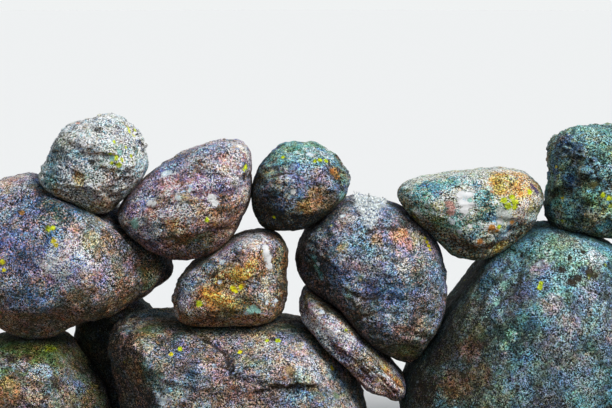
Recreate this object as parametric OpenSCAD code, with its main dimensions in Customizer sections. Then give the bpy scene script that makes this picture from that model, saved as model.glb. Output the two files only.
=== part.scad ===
// A stretch of single dry stone wall built of rounded field boulders.
// The wall runs along X, its front face looks to -Y and the ground is at Z = 0.

/* [Laying] */
// Joint left between two stones that bear on each other
bed_joint = 0.3; // [0.2:0.1:0.8]
// How far the skins wander from an even round, in percent
unevenness = 4; // [0:0.5:6]
// Depth that each base boulder is bedded flat on the ground
foot_depth = 18; // [8:1:30]
// Number of small faces struck off all round each stone
spalls = 6; // [0:1:8]
// Depth of those faces, in percent of the stone's height
spall_depth = 3; // [0:0.5:5]

/* [Base course] */
// Length of the flat-topped base slab
base_slab_l = 640; // [560:5:720]
// Thickness of the base slab through the wall
base_slab_t = 520; // [440:5:580]
// Height of the base slab
base_slab_h = 395; // [360:5:430]
// Length of the dark boulder set back beside the slab
dark_l = 270; // [240:5:300]
// Thickness of the dark boulder
dark_t = 290; // [250:5:330]
// Height of the dark boulder
dark_h = 425; // [395:5:450]
// Length of the mossy base boulder
mossy_l = 455; // [400:5:500]
// Thickness of the mossy base boulder
mossy_t = 460; // [400:5:520]
// Height of the mossy base boulder
mossy_h = 340; // [310:5:370]
// Length of the great right boulder
great_l = 645; // [585:5:705]
// Thickness of the great right boulder
great_t = 580; // [480:5:640]
// Height of the great right boulder
great_h = 615; // [570:5:650]
// Open gap between the base slab and the great right boulder
great_gap = 75; // [60:5:95]
// Open gap between the ends of the base slab and the mossy boulder
mossy_gap = 2; // [1:1:12]
// Length of the left base boulder
left_base_l = 340; // [300:5:380]
// Thickness of the left base boulder
left_base_t = 440; // [360:5:520]
// Height of the left base boulder
left_base_h = 320; // [290:5:350]
// Length of the base boulder at the left end
left_foot_l = 410; // [360:5:450]
// Thickness of the base boulder at the left end
left_foot_t = 500; // [420:5:560]
// Height of the base boulder at the left end
left_foot_h = 380; // [340:5:410]
// Length of the right base boulder
right_base_l = 400; // [350:5:440]
// Thickness of the right base boulder
right_base_t = 500; // [420:5:560]
// Height of the right base boulder
right_base_h = 400; // [360:5:430]
// Length of the base boulder at the right end
right_foot_l = 390; // [340:5:430]
// Thickness of the base boulder at the right end
right_foot_t = 480; // [400:5:540]
// Height of the base boulder at the right end
right_foot_h = 365; // [335:5:395]

/* [Middle course] */
// Length of the long left boulder
long_left_l = 556; // [510:5:600]
// Thickness of the long left boulder
long_left_t = 460; // [380:5:520]
// Height of the long left boulder
long_left_h = 416; // [380:5:450]
// Length of the wedge block
wedge_l = 300; // [260:5:340]
// Thickness of the wedge block
wedge_t = 340; // [280:5:400]
// Height of the wedge block
wedge_h = 236; // [210:2:260]
// Length of the leaning slab along its slope
leaning_l = 365; // [330:5:395]
// Thickness of the leaning slab through the wall
leaning_t = 330; // [260:5:400]
// Height of the leaning slab across its beds
leaning_h = 96; // [80:2:110]
// Length of the heart-shaped boulder
heart_l = 382; // [350:2:410]
// Thickness of the heart-shaped boulder
heart_t = 430; // [360:5:480]
// Height of the heart-shaped boulder
heart_h = 420; // [390:2:450]
// Length of the left middle boulder
left_middle_l = 350; // [310:5:390]
// Thickness of the left middle boulder
left_middle_t = 400; // [320:5:460]
// Height of the left middle boulder
left_middle_h = 310; // [280:5:340]
// Length of the middle boulder at the left end
left_quoin_l = 340; // [300:5:380]
// Thickness of the middle boulder at the left end
left_quoin_t = 400; // [320:5:460]
// Height of the middle boulder at the left end
left_quoin_h = 290; // [260:5:320]
// Length of the right middle boulder
right_middle_l = 370; // [330:5:410]
// Thickness of the right middle boulder
right_middle_t = 400; // [320:5:460]
// Height of the right middle boulder
right_middle_h = 270; // [240:5:300]
// Length of the middle boulder at the right end
right_quoin_l = 340; // [300:5:370]
// Thickness of the middle boulder at the right end
right_quoin_t = 370; // [300:5:430]
// Height of the middle boulder at the right end
right_quoin_h = 290; // [260:5:320]

/* [Cap stones] */
// Length of the pale cap stone
pale_cap_l = 264; // [240:2:290]
// Thickness of the pale cap stone
pale_cap_t = 300; // [240:5:350]
// Height of the pale cap stone
pale_cap_h = 258; // [230:2:280]
// Length of the tilted cap stone
tilted_cap_l = 368; // [340:2:400]
// Thickness of the tilted cap stone
tilted_cap_t = 350; // [280:5:400]
// Height of the tilted cap stone
tilted_cap_h = 252; // [230:2:275]
// Length of the round cap stone
round_cap_l = 252; // [230:2:275]
// Thickness of the round cap stone
round_cap_t = 280; // [230:5:330]
// Height of the round cap stone
round_cap_h = 230; // [210:2:250]
// Length of the flat-topped cap stone
flat_cap_l = 365; // [335:5:395]
// Thickness of the flat-topped cap stone
flat_cap_t = 340; // [280:5:400]
// Height of the flat-topped cap stone
flat_cap_h = 238; // [216:2:256]
// Length of the square cap stone
square_cap_l = 295; // [265:5:325]
// Thickness of the square cap stone
square_cap_t = 330; // [270:5:390]
// Height of the square cap stone
square_cap_h = 300; // [275:5:330]
// Length of the left cap stone
left_cap_l = 290; // [260:5:320]
// Thickness of the left cap stone
left_cap_t = 310; // [250:5:360]
// Height of the left cap stone
left_cap_h = 240; // [215:5:265]
// Length of the left oval cap stone
left_oval_l = 280; // [250:5:310]
// Thickness of the left oval cap stone
left_oval_t = 310; // [250:5:360]
// Height of the left oval cap stone
left_oval_h = 220; // [195:5:245]
// Length of the cap stone at the left end
left_end_cap_l = 250; // [220:5:280]
// Thickness of the cap stone at the left end
left_end_cap_t = 300; // [240:5:350]
// Height of the cap stone at the left end
left_end_cap_h = 220; // [195:5:245]
// Length of the right cap stone
right_cap_l = 270; // [240:5:300]
// Thickness of the right cap stone
right_cap_t = 320; // [260:5:370]
// Height of the right cap stone
right_cap_h = 240; // [215:5:265]
// Length of the right oval cap stone
right_oval_l = 260; // [230:5:290]
// Thickness of the right oval cap stone
right_oval_t = 300; // [240:5:350]
// Height of the right oval cap stone
right_oval_h = 220; // [195:5:245]
// Length of the cap stone at the right end
right_end_cap_l = 260; // [230:5:290]
// Thickness of the cap stone at the right end
right_end_cap_t = 300; // [240:5:350]
// Height of the cap stone at the right end
right_end_cap_h = 230; // [205:5:255]

/* [Hidden] */

// Points round a stone's outline, and rings from its front to its back
sides = 24;
rings = 11;
// How blunt the front and back are, where 1 is an even round and less is blunter
bluntness = 0.85;
// Angle from one struck-off face to the next round a stone, which keeps them apart,
// and how far they lean towards its front or back, with their sway to either side
spall_step = 137.5;
spall_lean = 45;
spall_sway = 15;

// Outline radii every 30 degrees from the right-hand end, anticlockwise,
// as a percentage of half the stone's length and half its height
slab_form = [97, 92, 100, 96, 112, 113, 98, 104, 110, 98, 112, 112];
upright_form = [94, 98, 102, 97, 108, 106, 94, 96, 108, 98, 108, 98];
mossy_form = [96, 92, 100, 94, 96, 96, 98, 110, 113, 99, 113, 110];
great_form = [100, 108, 105, 98, 82, 74, 82, 120, 114, 99, 113, 112];
long_form = [99, 90, 89, 98, 100, 97, 97, 100, 92, 96, 75, 75];
wedge_form = [94, 114, 114, 80, 74, 82, 93, 112, 102, 96, 110, 102];
leaning_form = [98, 100, 100, 100, 110, 113, 98, 102, 104, 92, 86, 105];
heart_form = [99, 98, 94, 97, 103, 104, 90, 58, 54, 70, 108, 105];
pale_form = [94, 101, 107, 90, 82, 90, 95, 104, 94, 98, 83, 82];
egg_form = [88, 113, 110, 98, 106, 111, 93, 90, 96, 98, 85, 82];
round_form = [100, 99, 101, 97, 102, 101, 100, 111, 112, 86, 74, 80];
flat_form = [92, 113, 114, 96, 96, 110, 84, 68, 78, 98, 93, 85];
square_form = [98, 105, 105, 98, 106, 112, 100, 113, 103, 98, 110, 108];

// A row is [name, [length, thickness, height], tilt, set back, outline, fullness, clefts, touches].
// Directions are in degrees in the plane of the wall, from +X towards +Z, and a turn swings
// them towards the back. The set back is in percent of the stone's thickness, and the depths
// of clefts and beds are in percent of its height.
// A cleft is a face that split off the boulder, as [direction, turn, depth].
// Two touches fix a stone's place, each ["ground"], ["over", other, percent of its length],
// ["beside", other, gap], where a gap below 0 lies to its left, or a bed dressed on both,
// [other, direction from it, depth, turn].
STONES = [
  ["base_slab", [base_slab_l, base_slab_t, base_slab_h], 0, 0, slab_form, 0.45,
    [[90, -38, 9], [0, -90, 6], [180, -40, 8], [35, -30, 5]],
    [["ground"], ["over", "ground", 0]]],
  ["great_right_boulder", [great_l, great_t, great_h], 0, 0, great_form, 0.6,
    [[128, -30, 5], [0, -90, 4], [100, -45, 4], [150, -60, 5]],
    [["ground"], ["beside", "base_slab", great_gap]]],
  ["mossy_boulder", [mossy_l, mossy_t, mossy_h], 0, 0, mossy_form, 0.6,
    [[80, -35, 6], [20, -30, 5], [0, -90, 5]],
    [["ground"], ["beside", "base_slab", -mossy_gap]]],
  ["dark_boulder", [dark_l, dark_t, dark_h], 0, 41, upright_form, 0.6, [],
    [["ground"], ["over", "base_slab", -50]]],
  ["left_base_boulder", [left_base_l, left_base_t, left_base_h], 0, 2, pale_form, 0.65, [],
    [["ground"], ["mossy_boulder", 180, 4.7]]],
  ["left_end_base_boulder", [left_foot_l, left_foot_t, left_foot_h], 0, 0, square_form, 0.6, [],
    [["ground"], ["left_base_boulder", 180, 4]]],
  ["right_base_boulder", [right_base_l, right_base_t, right_base_h], 0, 0, round_form, 0.6, [],
    [["ground"], ["great_right_boulder", 0, 8.5]]],
  ["right_end_base_boulder", [right_foot_l, right_foot_t, right_foot_h], 0, 0, slab_form, 0.6, [],
    [["ground"], ["right_base_boulder", 1, 3.8]]],
  ["long_left_boulder", [long_left_l, long_left_t, long_left_h], -8, 2, long_form, 0.65,
    [[115, -40, 6], [15, -40, 7], [-80, -35, 7]],
    [["mossy_boulder", 81, 2.3, 2], ["dark_boulder", 113, 6.7, -9]]],
  ["wedge_block", [wedge_l, wedge_t, wedge_h], 8, -9, wedge_form, 0.5,
    [[122, 0, 3], [128, -42, 10], [5, -40, 9], [0, -90, 5], [-90, -30, 6]],
    [["base_slab", 90, 13], ["over", "base_slab", -3.5]]],
  ["leaning_slab", [leaning_l, leaning_t, leaning_h], -42, -6, leaning_form, 0.4,
    [[48, 0, 4], [228, 0, 4], [48, -60, 8], [228, -50, 8]],
    [["base_slab", 48, 16.2, 1], ["great_right_boulder", 174, 16, 4]]],
  ["heart_boulder", [heart_l, heart_t, heart_h], 0, 0, heart_form, 0.7,
    [[200, -32, 8], [0, -90, 5], [50, -45, 4], [-90, -35, 6]],
    [["leaning_slab", 53, 5.9, 2], ["great_right_boulder", 145, 9.9, 4]]],
  ["left_middle_boulder", [left_middle_l, left_middle_t, left_middle_h], 0, 0, egg_form, 0.7, [],
    [["left_base_boulder", 95, 7.7], ["long_left_boulder", 180, 6.5]]],
  ["left_end_middle_boulder", [left_quoin_l, left_quoin_t, left_quoin_h], 0, 0, flat_form, 0.65, [],
    [["left_end_base_boulder", 88, 11], ["left_middle_boulder", 180, 9.7]]],
  ["right_middle_boulder", [right_middle_l, right_middle_t, right_middle_h], 0, 0, long_form, 0.65, [],
    [["great_right_boulder", 14, 5.6], ["right_base_boulder", 95, 8.7]]],
  ["right_end_middle_boulder", [right_quoin_l, right_quoin_t, right_quoin_h], -15, 0, egg_form, 0.7, [],
    [["right_end_base_boulder", 92, 6.2], ["right_middle_boulder", -4, 5.5]]],
  ["tilted_cap_stone", [tilted_cap_l, tilted_cap_t, tilted_cap_h], 30, -3, egg_form, 0.7,
    [[125, -38, 6], [-60, -40, 7], [30, -80, 4]],
    [["long_left_boulder", 52, 16.5, -5], ["wedge_block", 124, 3.9, -1]]],
  ["pale_cap_stone", [pale_cap_l, pale_cap_t, pale_cap_h], 0, -12, pale_form, 0.75,
    [[0, -88, 4], [-100, -42, 7], [150, -40, 4]],
    [["long_left_boulder", 63, 26, -2], ["tilted_cap_stone", 136, 2.9, -5]]],
  ["round_cap_stone", [round_cap_l, round_cap_t, round_cap_h], 0, 0, round_form, 0.75,
    [[95, -35, 5], [-150, -35, 8], [0, -85, 4]],
    [["wedge_block", 73, 1.5, 3], ["heart_boulder", 137, 15, -2]]],
  ["flat_topped_cap_stone", [flat_cap_l, flat_cap_t, flat_cap_h], 0, 0, flat_form, 0.65,
    [[88, 0, 2], [85, -40, 7], [-125, -38, 7], [-50, -42, 7], [0, -88, 5]],
    [["heart_boulder", 45, 6.2], ["great_right_boulder", 121, 12]]],
  ["square_cap_stone", [square_cap_l, square_cap_t, square_cap_h], 0, 0, square_form, 0.5,
    [[180, 0, 2], [90, 0, 2], [180, -42, 7], [90, -45, 9], [0, -88, 7], [-80, -40, 6]],
    [["great_right_boulder", 74, 3.7], ["over", "great_right_boulder", 29]]],
  ["left_cap_stone", [left_cap_l, left_cap_t, left_cap_h], 0, 0, flat_form, 0.7, [],
    [["long_left_boulder", 140, 11], ["left_middle_boulder", 62, 11.7]]],
  ["left_oval_cap_stone", [left_oval_l, left_oval_t, left_oval_h], 10, 0, round_form, 0.75, [],
    [["left_end_middle_boulder", 68, 10.9], ["left_cap_stone", 168, 9]]],
  ["left_end_cap_stone", [left_end_cap_l, left_end_cap_t, left_end_cap_h], 0, 0, pale_form, 0.75, [],
    [["left_end_middle_boulder", 104, 8.2], ["left_oval_cap_stone", 180, 9.1]]],
  ["right_cap_stone", [right_cap_l, right_cap_t, right_cap_h], 0, 0, round_form, 0.7, [],
    [["right_middle_boulder", 88, 19.2], ["square_cap_stone", 0, 5.8]]],
  ["right_oval_cap_stone", [right_oval_l, right_oval_t, right_oval_h], 0, 0, pale_form, 0.75, [],
    [["right_end_middle_boulder", 100, 10.9], ["right_cap_stone", 0, 9.1]]],
  ["right_end_cap_stone", [right_end_cap_l, right_end_cap_t, right_end_cap_h], 0, 0, flat_form, 0.7, [],
    [["right_end_middle_boulder", 62, 10], ["right_oval_cap_stone", 0, 10.4]]]
];

// Pairs that stand beside each other without bearing, as [stone, direction, neighbour, turn]
PARTINGS = [
  ["base_slab", 180, "dark_boulder", 50],
  ["mossy_boulder", 0, "dark_boulder", 50],
  ["base_slab", 120, "long_left_boulder"],
  ["tilted_cap_stone", 0, "round_cap_stone"],
  ["right_middle_boulder", 45, "right_oval_cap_stone"]
];

function place(name) = search([name], STONES)[0];
function way(direction, turn) =
  let (t = is_undef(turn) ? 0 : turn) [cos(direction) * cos(t), sin(t), sin(direction) * cos(t)];

// A smooth closed curve through the twelve radii of an outline
function along(a, b, c, d, t) =
  b + 0.5 * t * (c - a + t * (2 * a - 5 * b + 4 * c - d + t * (3 * (b - c) + d - a)));
function radius(form, angle) =
  let (n = len(form), u = angle * n / 360, i = floor(u))
  along(form[(i + n - 1) % n], form[i % n], form[(i + 1) % n], form[(i + 2) % n], u - i);
function outline(form) =
  [for (k = [0:sides - 1]) let (a = 360 * k / sides) radius(form, a) * [cos(a), sin(a)]];

// Hollows and swells of a face, from -1 to 1, different for each seed
function swell(p, seed) =
  0.5 * sin(190 * p.x + 77 * seed) * cos(160 * p.y - 41 * seed)
  + 0.3 * sin(260 * p.z - 59 * seed + 120 * p.y) + 0.2 * cos(350 * p.x + 290 * p.z + 23 * seed);

// Points of a stone about its own middle, ring by ring from front to back
function round_skin(stone) =
  let (
    flat = outline(stone[4]),
    low = [min([for (p = flat) p.x]), min([for (p = flat) p.y])],
    high = [max([for (p = flat) p.x]), max([for (p = flat) p.y])],
    size = stone[1], tilt = stone[2], full = stone[5], seed = seed_of(stone)
  )
  [for (j = [0:rings + 1], k = [0:(j == 0 || j == rings + 1) ? 0 : sides - 1])
    let (
      lat = -90 + 180 * j / (rings + 1),
      ring = pow(cos(lat), full),
      p = flat[k],
      x = ring * ((p.x - low.x) / (high.x - low.x) - 0.5),
      z = ring * ((p.y - low.y) / (high.y - low.y) - 0.5),
      y = 0.5 * sign(lat) * pow(abs(sin(lat)), bluntness),
      grow = 1 + unevenness / 100 * swell([x, y, z], seed)
    )
    grow * [x * size.x * cos(tilt) - z * size.z * sin(tilt), y * size.y,
      x * size.x * sin(tilt) + z * size.z * cos(tilt)]
  ];
function seed_of(stone) = len(stone[0]) + stone[1].x / 10;

// Small faces struck off all round a stone, in turn from its front and its back
function spall(k, seed) =
  let (lean = spall_lean + spall_sway * sin(97 * k + 31 * seed))
  [spall_step * k + 50 * seed, k % 2 == 0 ? -lean : lean, spall_depth];

// The stone with its split faces, before any bed is dressed
function skin(stone) =
  let (
    points = round_skin(stone),
    clefts = concat(stone[6], [for (k = [0:1:spalls - 1]) spall(k, seed_of(stone))])
  )
  [for (faces = [[for (c = clefts) let (w = way(c[0], c[1]))
      [w, reach(points, w) - c[2] / 100 * stone[1].z]]], p = points) trim(p, faces)];

function reach(points, way) = max([for (p = points) p * way]);

// Pulls a point back towards the middle, behind all the faces given
function trim(p, faces) =
  p * min(concat([1], [for (face = faces) if (p * face[0] > face[1]) face[1] / (p * face[0])]));

// Distance from one middle to the other along the bed, when the dressed faces meet
function lift(points, other, way, cut) = reach(other, way) + reach(points, -way) - cut;

// Depth dressed off a bed between two stones, measured on the one that was laid later
function cut_of(stone, touch) = touch[2] / 100 * stone[1].z;

// Each touch fixes the stone's middle along one direction: [direction, distance from the origin]
function hold(i, touch, middles) =
  touch[0] == "ground" ? [[0, 0, 1], reach(SKINS[i], [0, 0, -1]) - foot_depth] :
  touch[0] == "over" ? [[1, 0, 0], over(touch, middles)] :
  touch[0] == "beside" ?
    bear(SKINS[i], [sign(touch[2]), 0, 0], place(touch[1]), -abs(touch[2]), middles) :
  bear(SKINS[i], way(touch[1], touch[3]), place(touch[0]), cut_of(STONES[i], touch), middles);
function over(touch, middles) =
  touch[1] == "ground" ? 0 :
  let (o = place(touch[1])) middles[o].x + touch[2] / 100 * STONES[o][1].x;
function bear(points, way, o, cut, middles) =
  [way, lift(points, SKINS[o], way, cut) + middles[o] * way];

function meet(a, b, back) =
  let (
    det = a[0].x * b[0].z - a[0].z * b[0].x,
    p = a[1] - a[0].y * back,
    q = b[1] - b[0].y * back
  )
  [(p * b[0].z - q * a[0].z) / det, back, (a[0].x * q - b[0].x * p) / det];

// The middles of all the stones, laid one after another from the ground up
function lay(middles) =
  let (i = len(middles))
  i == len(STONES) ? middles :
  let (stone = STONES[i], back = stone[3] / 100 * stone[1].y)
  lay(concat(middles, [meet(hold(i, stone[7][0], middles), hold(i, stone[7][1], middles), back)]));

SKINS = [for (stone = STONES) skin(stone)];
MIDDLES = lay([]);

function is_stone(name) = name != "ground" && name != "over" && name != "beside";

// The dressed faces of a stone, as [outward direction, distance from its middle]
function beds(i) = concat(
  [for (touch = STONES[i][7]) if (touch[0] == "ground") [[0, 0, -1], MIDDLES[i].z]],
  [for (touch = STONES[i][7]) if (is_stone(touch[0]))
    bed(i, -way(touch[1], touch[3]), cut_of(STONES[i], touch))],
  [for (other = STONES, touch = other[7]) if (touch[0] == STONES[i][0])
    bed(i, way(touch[1], touch[3]), cut_of(other, touch))],
  [for (part = PARTINGS) if (part[0] == STONES[i][0]) parting(i, part[2], way(part[1], part[3]))],
  [for (part = PARTINGS) if (part[2] == STONES[i][0]) parting(i, part[0], -way(part[1], part[3]))]
);
function bed(i, way, cut) = [way, reach(SKINS[i], way) - (cut + bed_joint) / 2];
function parting(i, name, way) =
  let (o = place(name), apart = (MIDDLES[o] - MIDDLES[i]) * way)
  [way, (apart + reach(SKINS[i], way) - reach(SKINS[o], -way) - bed_joint) / 2];

module boulder(name) {
  i = place(name);
  faces = beds(i);
  last = sides * rings + 1;
  translate(MIDDLES[i])
    polyhedron(
      points = [for (p = SKINS[i]) trim(p, faces)],
      faces = concat(
        [for (k = [0:sides - 1]) [0, 1 + (k + 1) % sides, 1 + k]],
        [for (j = [0:rings - 2], k = [0:sides - 1], half = [0, 1])
          let (a = 1 + j * sides + k, b = 1 + j * sides + (k + 1) % sides)
          half == 0 ? [a, b, a + sides] : [b, b + sides, a + sides]],
        [for (k = [0:sides - 1]) [last, last - sides + k, last - sides + (k + 1) % sides]]
      )
    );
}

module base_slab() color("#8f8a8c") boulder("base_slab");
module dark_boulder() color("#3d4143") boulder("dark_boulder");
module mossy_boulder() color("#5b6350") boulder("mossy_boulder");
module great_right_boulder() color("#566769") boulder("great_right_boulder");
module left_base_boulder() color("#7b7a76") boulder("left_base_boulder");
module left_end_base_boulder() color("#6a6f70") boulder("left_end_base_boulder");
module right_base_boulder() color("#807a78") boulder("right_base_boulder");
module right_end_base_boulder() color("#6d6a66") boulder("right_end_base_boulder");
module long_left_boulder() color("#7d7583") boulder("long_left_boulder");
module wedge_block() color("#94734f") boulder("wedge_block");
module leaning_slab() color("#8a8b84") boulder("leaning_slab");
module heart_boulder() color("#77707e") boulder("heart_boulder");
module left_middle_boulder() color("#86807c") boulder("left_middle_boulder");
module left_end_middle_boulder() color("#75706e") boulder("left_end_middle_boulder");
module right_middle_boulder() color("#7a7470") boulder("right_middle_boulder");
module right_end_middle_boulder() color("#8c7868") boulder("right_end_middle_boulder");
module tilted_cap_stone() color("#96807e") boulder("tilted_cap_stone");
module pale_cap_stone() color("#a9aaa2") boulder("pale_cap_stone");
module round_cap_stone() color("#76807f") boulder("round_cap_stone");
module flat_topped_cap_stone() color("#a98f6c") boulder("flat_topped_cap_stone");
module square_cap_stone() color("#56686c") boulder("square_cap_stone");
module left_cap_stone() color("#7f8280") boulder("left_cap_stone");
module left_oval_cap_stone() color("#8b817a") boulder("left_oval_cap_stone");
module left_end_cap_stone() color("#73787a") boulder("left_end_cap_stone");
module right_cap_stone() color("#8a857d") boulder("right_cap_stone");
module right_oval_cap_stone() color("#7b7f80") boulder("right_oval_cap_stone");
module right_end_cap_stone() color("#948c82") boulder("right_end_cap_stone");

base_slab();
dark_boulder();
mossy_boulder();
great_right_boulder();
left_base_boulder();
left_end_base_boulder();
right_base_boulder();
right_end_base_boulder();
long_left_boulder();
wedge_block();
leaning_slab();
heart_boulder();
left_middle_boulder();
left_end_middle_boulder();
right_middle_boulder();
right_end_middle_boulder();
tilted_cap_stone();
pale_cap_stone();
round_cap_stone();
flat_topped_cap_stone();
square_cap_stone();
left_cap_stone();
left_oval_cap_stone();
left_end_cap_stone();
right_cap_stone();
right_oval_cap_stone();
right_end_cap_stone();
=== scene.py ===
import bpy
import math
import random
import numpy as np
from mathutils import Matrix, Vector
from mathutils.bvhtree import BVHTree


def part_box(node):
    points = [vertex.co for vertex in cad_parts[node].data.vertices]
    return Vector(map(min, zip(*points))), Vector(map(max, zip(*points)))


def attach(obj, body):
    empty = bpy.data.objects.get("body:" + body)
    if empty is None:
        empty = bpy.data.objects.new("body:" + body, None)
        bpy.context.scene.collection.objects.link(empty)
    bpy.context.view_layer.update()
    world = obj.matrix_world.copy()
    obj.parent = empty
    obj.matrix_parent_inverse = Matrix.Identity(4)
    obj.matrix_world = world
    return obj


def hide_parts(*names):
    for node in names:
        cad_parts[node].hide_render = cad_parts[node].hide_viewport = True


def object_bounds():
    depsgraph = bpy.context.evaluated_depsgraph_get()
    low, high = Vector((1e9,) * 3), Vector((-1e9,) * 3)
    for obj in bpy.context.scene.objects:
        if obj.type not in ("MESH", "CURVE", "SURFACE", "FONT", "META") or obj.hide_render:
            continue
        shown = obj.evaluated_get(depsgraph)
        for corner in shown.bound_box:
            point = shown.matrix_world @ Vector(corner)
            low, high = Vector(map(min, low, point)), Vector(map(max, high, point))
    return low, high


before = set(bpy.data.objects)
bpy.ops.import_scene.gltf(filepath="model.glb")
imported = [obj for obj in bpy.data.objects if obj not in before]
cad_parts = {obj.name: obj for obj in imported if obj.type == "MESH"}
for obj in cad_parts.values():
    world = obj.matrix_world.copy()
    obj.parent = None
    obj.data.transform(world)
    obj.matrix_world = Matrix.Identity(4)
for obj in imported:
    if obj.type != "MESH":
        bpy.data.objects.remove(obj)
cadLow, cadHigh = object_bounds()
bpy.ops.object.select_all(action="DESELECT")
scene = bpy.context.scene
scene.view_settings.view_transform = "Standard"
print("frame loaded:", len(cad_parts), "stones")

# The photograph's frame: one pixel is 2.5 mm at the middle of the wall
photo = {
    "width": 612, "height": 408,
    "pixel": 0.0025,      # metres at the middle of the wall
    "zeroColumn": 239.6,  # column of the middle of the base slab's foot
    "zeroRow": 465.0,     # row of the ground line
}
view = {
    "distance": 4.0,      # from the middle of the wall
    "down": 8.0,          # degrees below level
    "sensor": 36.0,
}


def atWall(column, row):
    x = (column - photo["zeroColumn"]) * photo["pixel"]
    z = (photo["zeroRow"] - row) * photo["pixel"]
    return Vector((x, 0.0, z))


def addCamera():
    target = atWall(photo["width"] / 2, photo["height"] / 2)
    down = math.radians(view["down"])
    back = Vector((0.0, -math.cos(down), math.sin(down)))
    bpy.ops.object.camera_add(location=target + back * view["distance"], rotation=(math.pi / 2 - down, 0, 0))
    camera = bpy.context.object
    camera.name = "photoCamera"
    camera.data.sensor_width = view["sensor"]
    camera.data.lens = view["sensor"] * view["distance"] / (photo["width"] * photo["pixel"])
    scene.camera = camera
    bpy.context.view_layer.update()
    return camera


camera = addCamera()


# Where the line of sight through a pixel of the photograph meets a stone
def landing(stone, column, row):
    across = (column - photo["width"] / 2) / photo["width"] * view["sensor"]
    up = (photo["height"] / 2 - row) / photo["width"] * view["sensor"]
    way = camera.matrix_world.to_3x3() @ Vector((across, up, -camera.data.lens))
    hit, where, normal, face = stone.ray_cast(camera.matrix_world.translation, way.normalized())
    return where if hit else None


def pointsOf(piece, kind="co"):
    values = np.empty(len(piece.data.vertices) * 3)
    piece.data.vertices.foreach_get(kind, values)
    return values.reshape(-1, 3)


# Columns and rows of a piece's points in the photograph, and how squarely they face it
def inPhoto(piece):
    turn = np.array(camera.matrix_world.to_3x3())
    seat = np.array(camera.matrix_world.translation)
    points = pointsOf(piece)
    local = (points - seat) @ turn
    zoom = camera.data.lens / view["sensor"] * photo["width"]
    columns = photo["width"] / 2 - zoom * local[:, 0] / local[:, 2]
    rows = photo["height"] / 2 + zoom * local[:, 1] / local[:, 2]
    sight = (points - seat) / np.linalg.norm(points - seat, axis=1)[:, None]
    return columns, rows, -(pointsOf(piece, "normal") * sight).sum(axis=1)


# Distance in pixels from a line drawn on the photograph, and the side: 1 below a line that runs rightwards
def besideLine(columns, rows, line):
    away = np.full(len(columns), 1e6)
    side = np.ones(len(columns))
    for (x0, y0), (x1, y1) in zip(line, line[1:]):
        dx, dy = x1 - x0, y1 - y0
        share = np.clip(((columns - x0) * dx + (rows - y0) * dy) / (dx * dx + dy * dy), 0, 1)
        offX, offY = columns - x0 - share * dx, rows - y0 - share * dy
        reach = np.hypot(offX, offY)
        nearer = reach < away
        away = np.where(nearer, reach, away)
        side = np.where(nearer, np.sign(dx * offY - dy * offX), side)
    return away, side


# Tones of the rock and of what grows on it
tones = {
    "white": "#dcdfdc", "paleGrey": "#a9ada9", "grey": "#7c7f80", "darkGrey": "#45494a", "black": "#171713",
    "blueGrey": "#76818f", "steel": "#4d5a6c", "navy": "#2b3e58", "slate": "#5c666e",
    "purple": "#7b7590", "plum": "#4e4a66", "lilac": "#a9a0b4", "purpleGrey": "#6e6a74",
    "pinkGrey": "#998c92", "pink": "#c09a90", "blush": "#d6c4c0",
    "teal": "#5e8084", "deepTeal": "#2c4a4c", "darkTeal": "#16302f", "mint": "#8fb0a8", "frost": "#c3d2e2",
    "ochre": "#a07c4e", "rust": "#a8744a", "orange": "#c68c50", "peach": "#c47a58", "brown": "#5d4a36",
    "umber": "#2a2116", "greyBrown": "#6f665c", "sand": "#b7a383", "cream": "#d8cdb9",
    "olive": "#5c5b3c", "darkOlive": "#2f3022", "moss": "#55622c", "greyGreen": "#6c7a66",
    "yellowGreen": "#bccb30", "yellow": "#e0d038",
}
richness = 1.35     # how much fuller the tones are than as written


def toLinear(tone):
    parts = [int(tones[tone][i:i + 2], 16) / 255 for i in (1, 3, 5)]
    middle = sum(parts) / 3
    parts = [min(max(middle + (p - middle) * richness, 0), 1) for p in parts]
    return [p / 12.92 if p <= 0.04045 else ((p + 0.055) / 1.055) ** 2.4 for p in parts] + [1.0]


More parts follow.
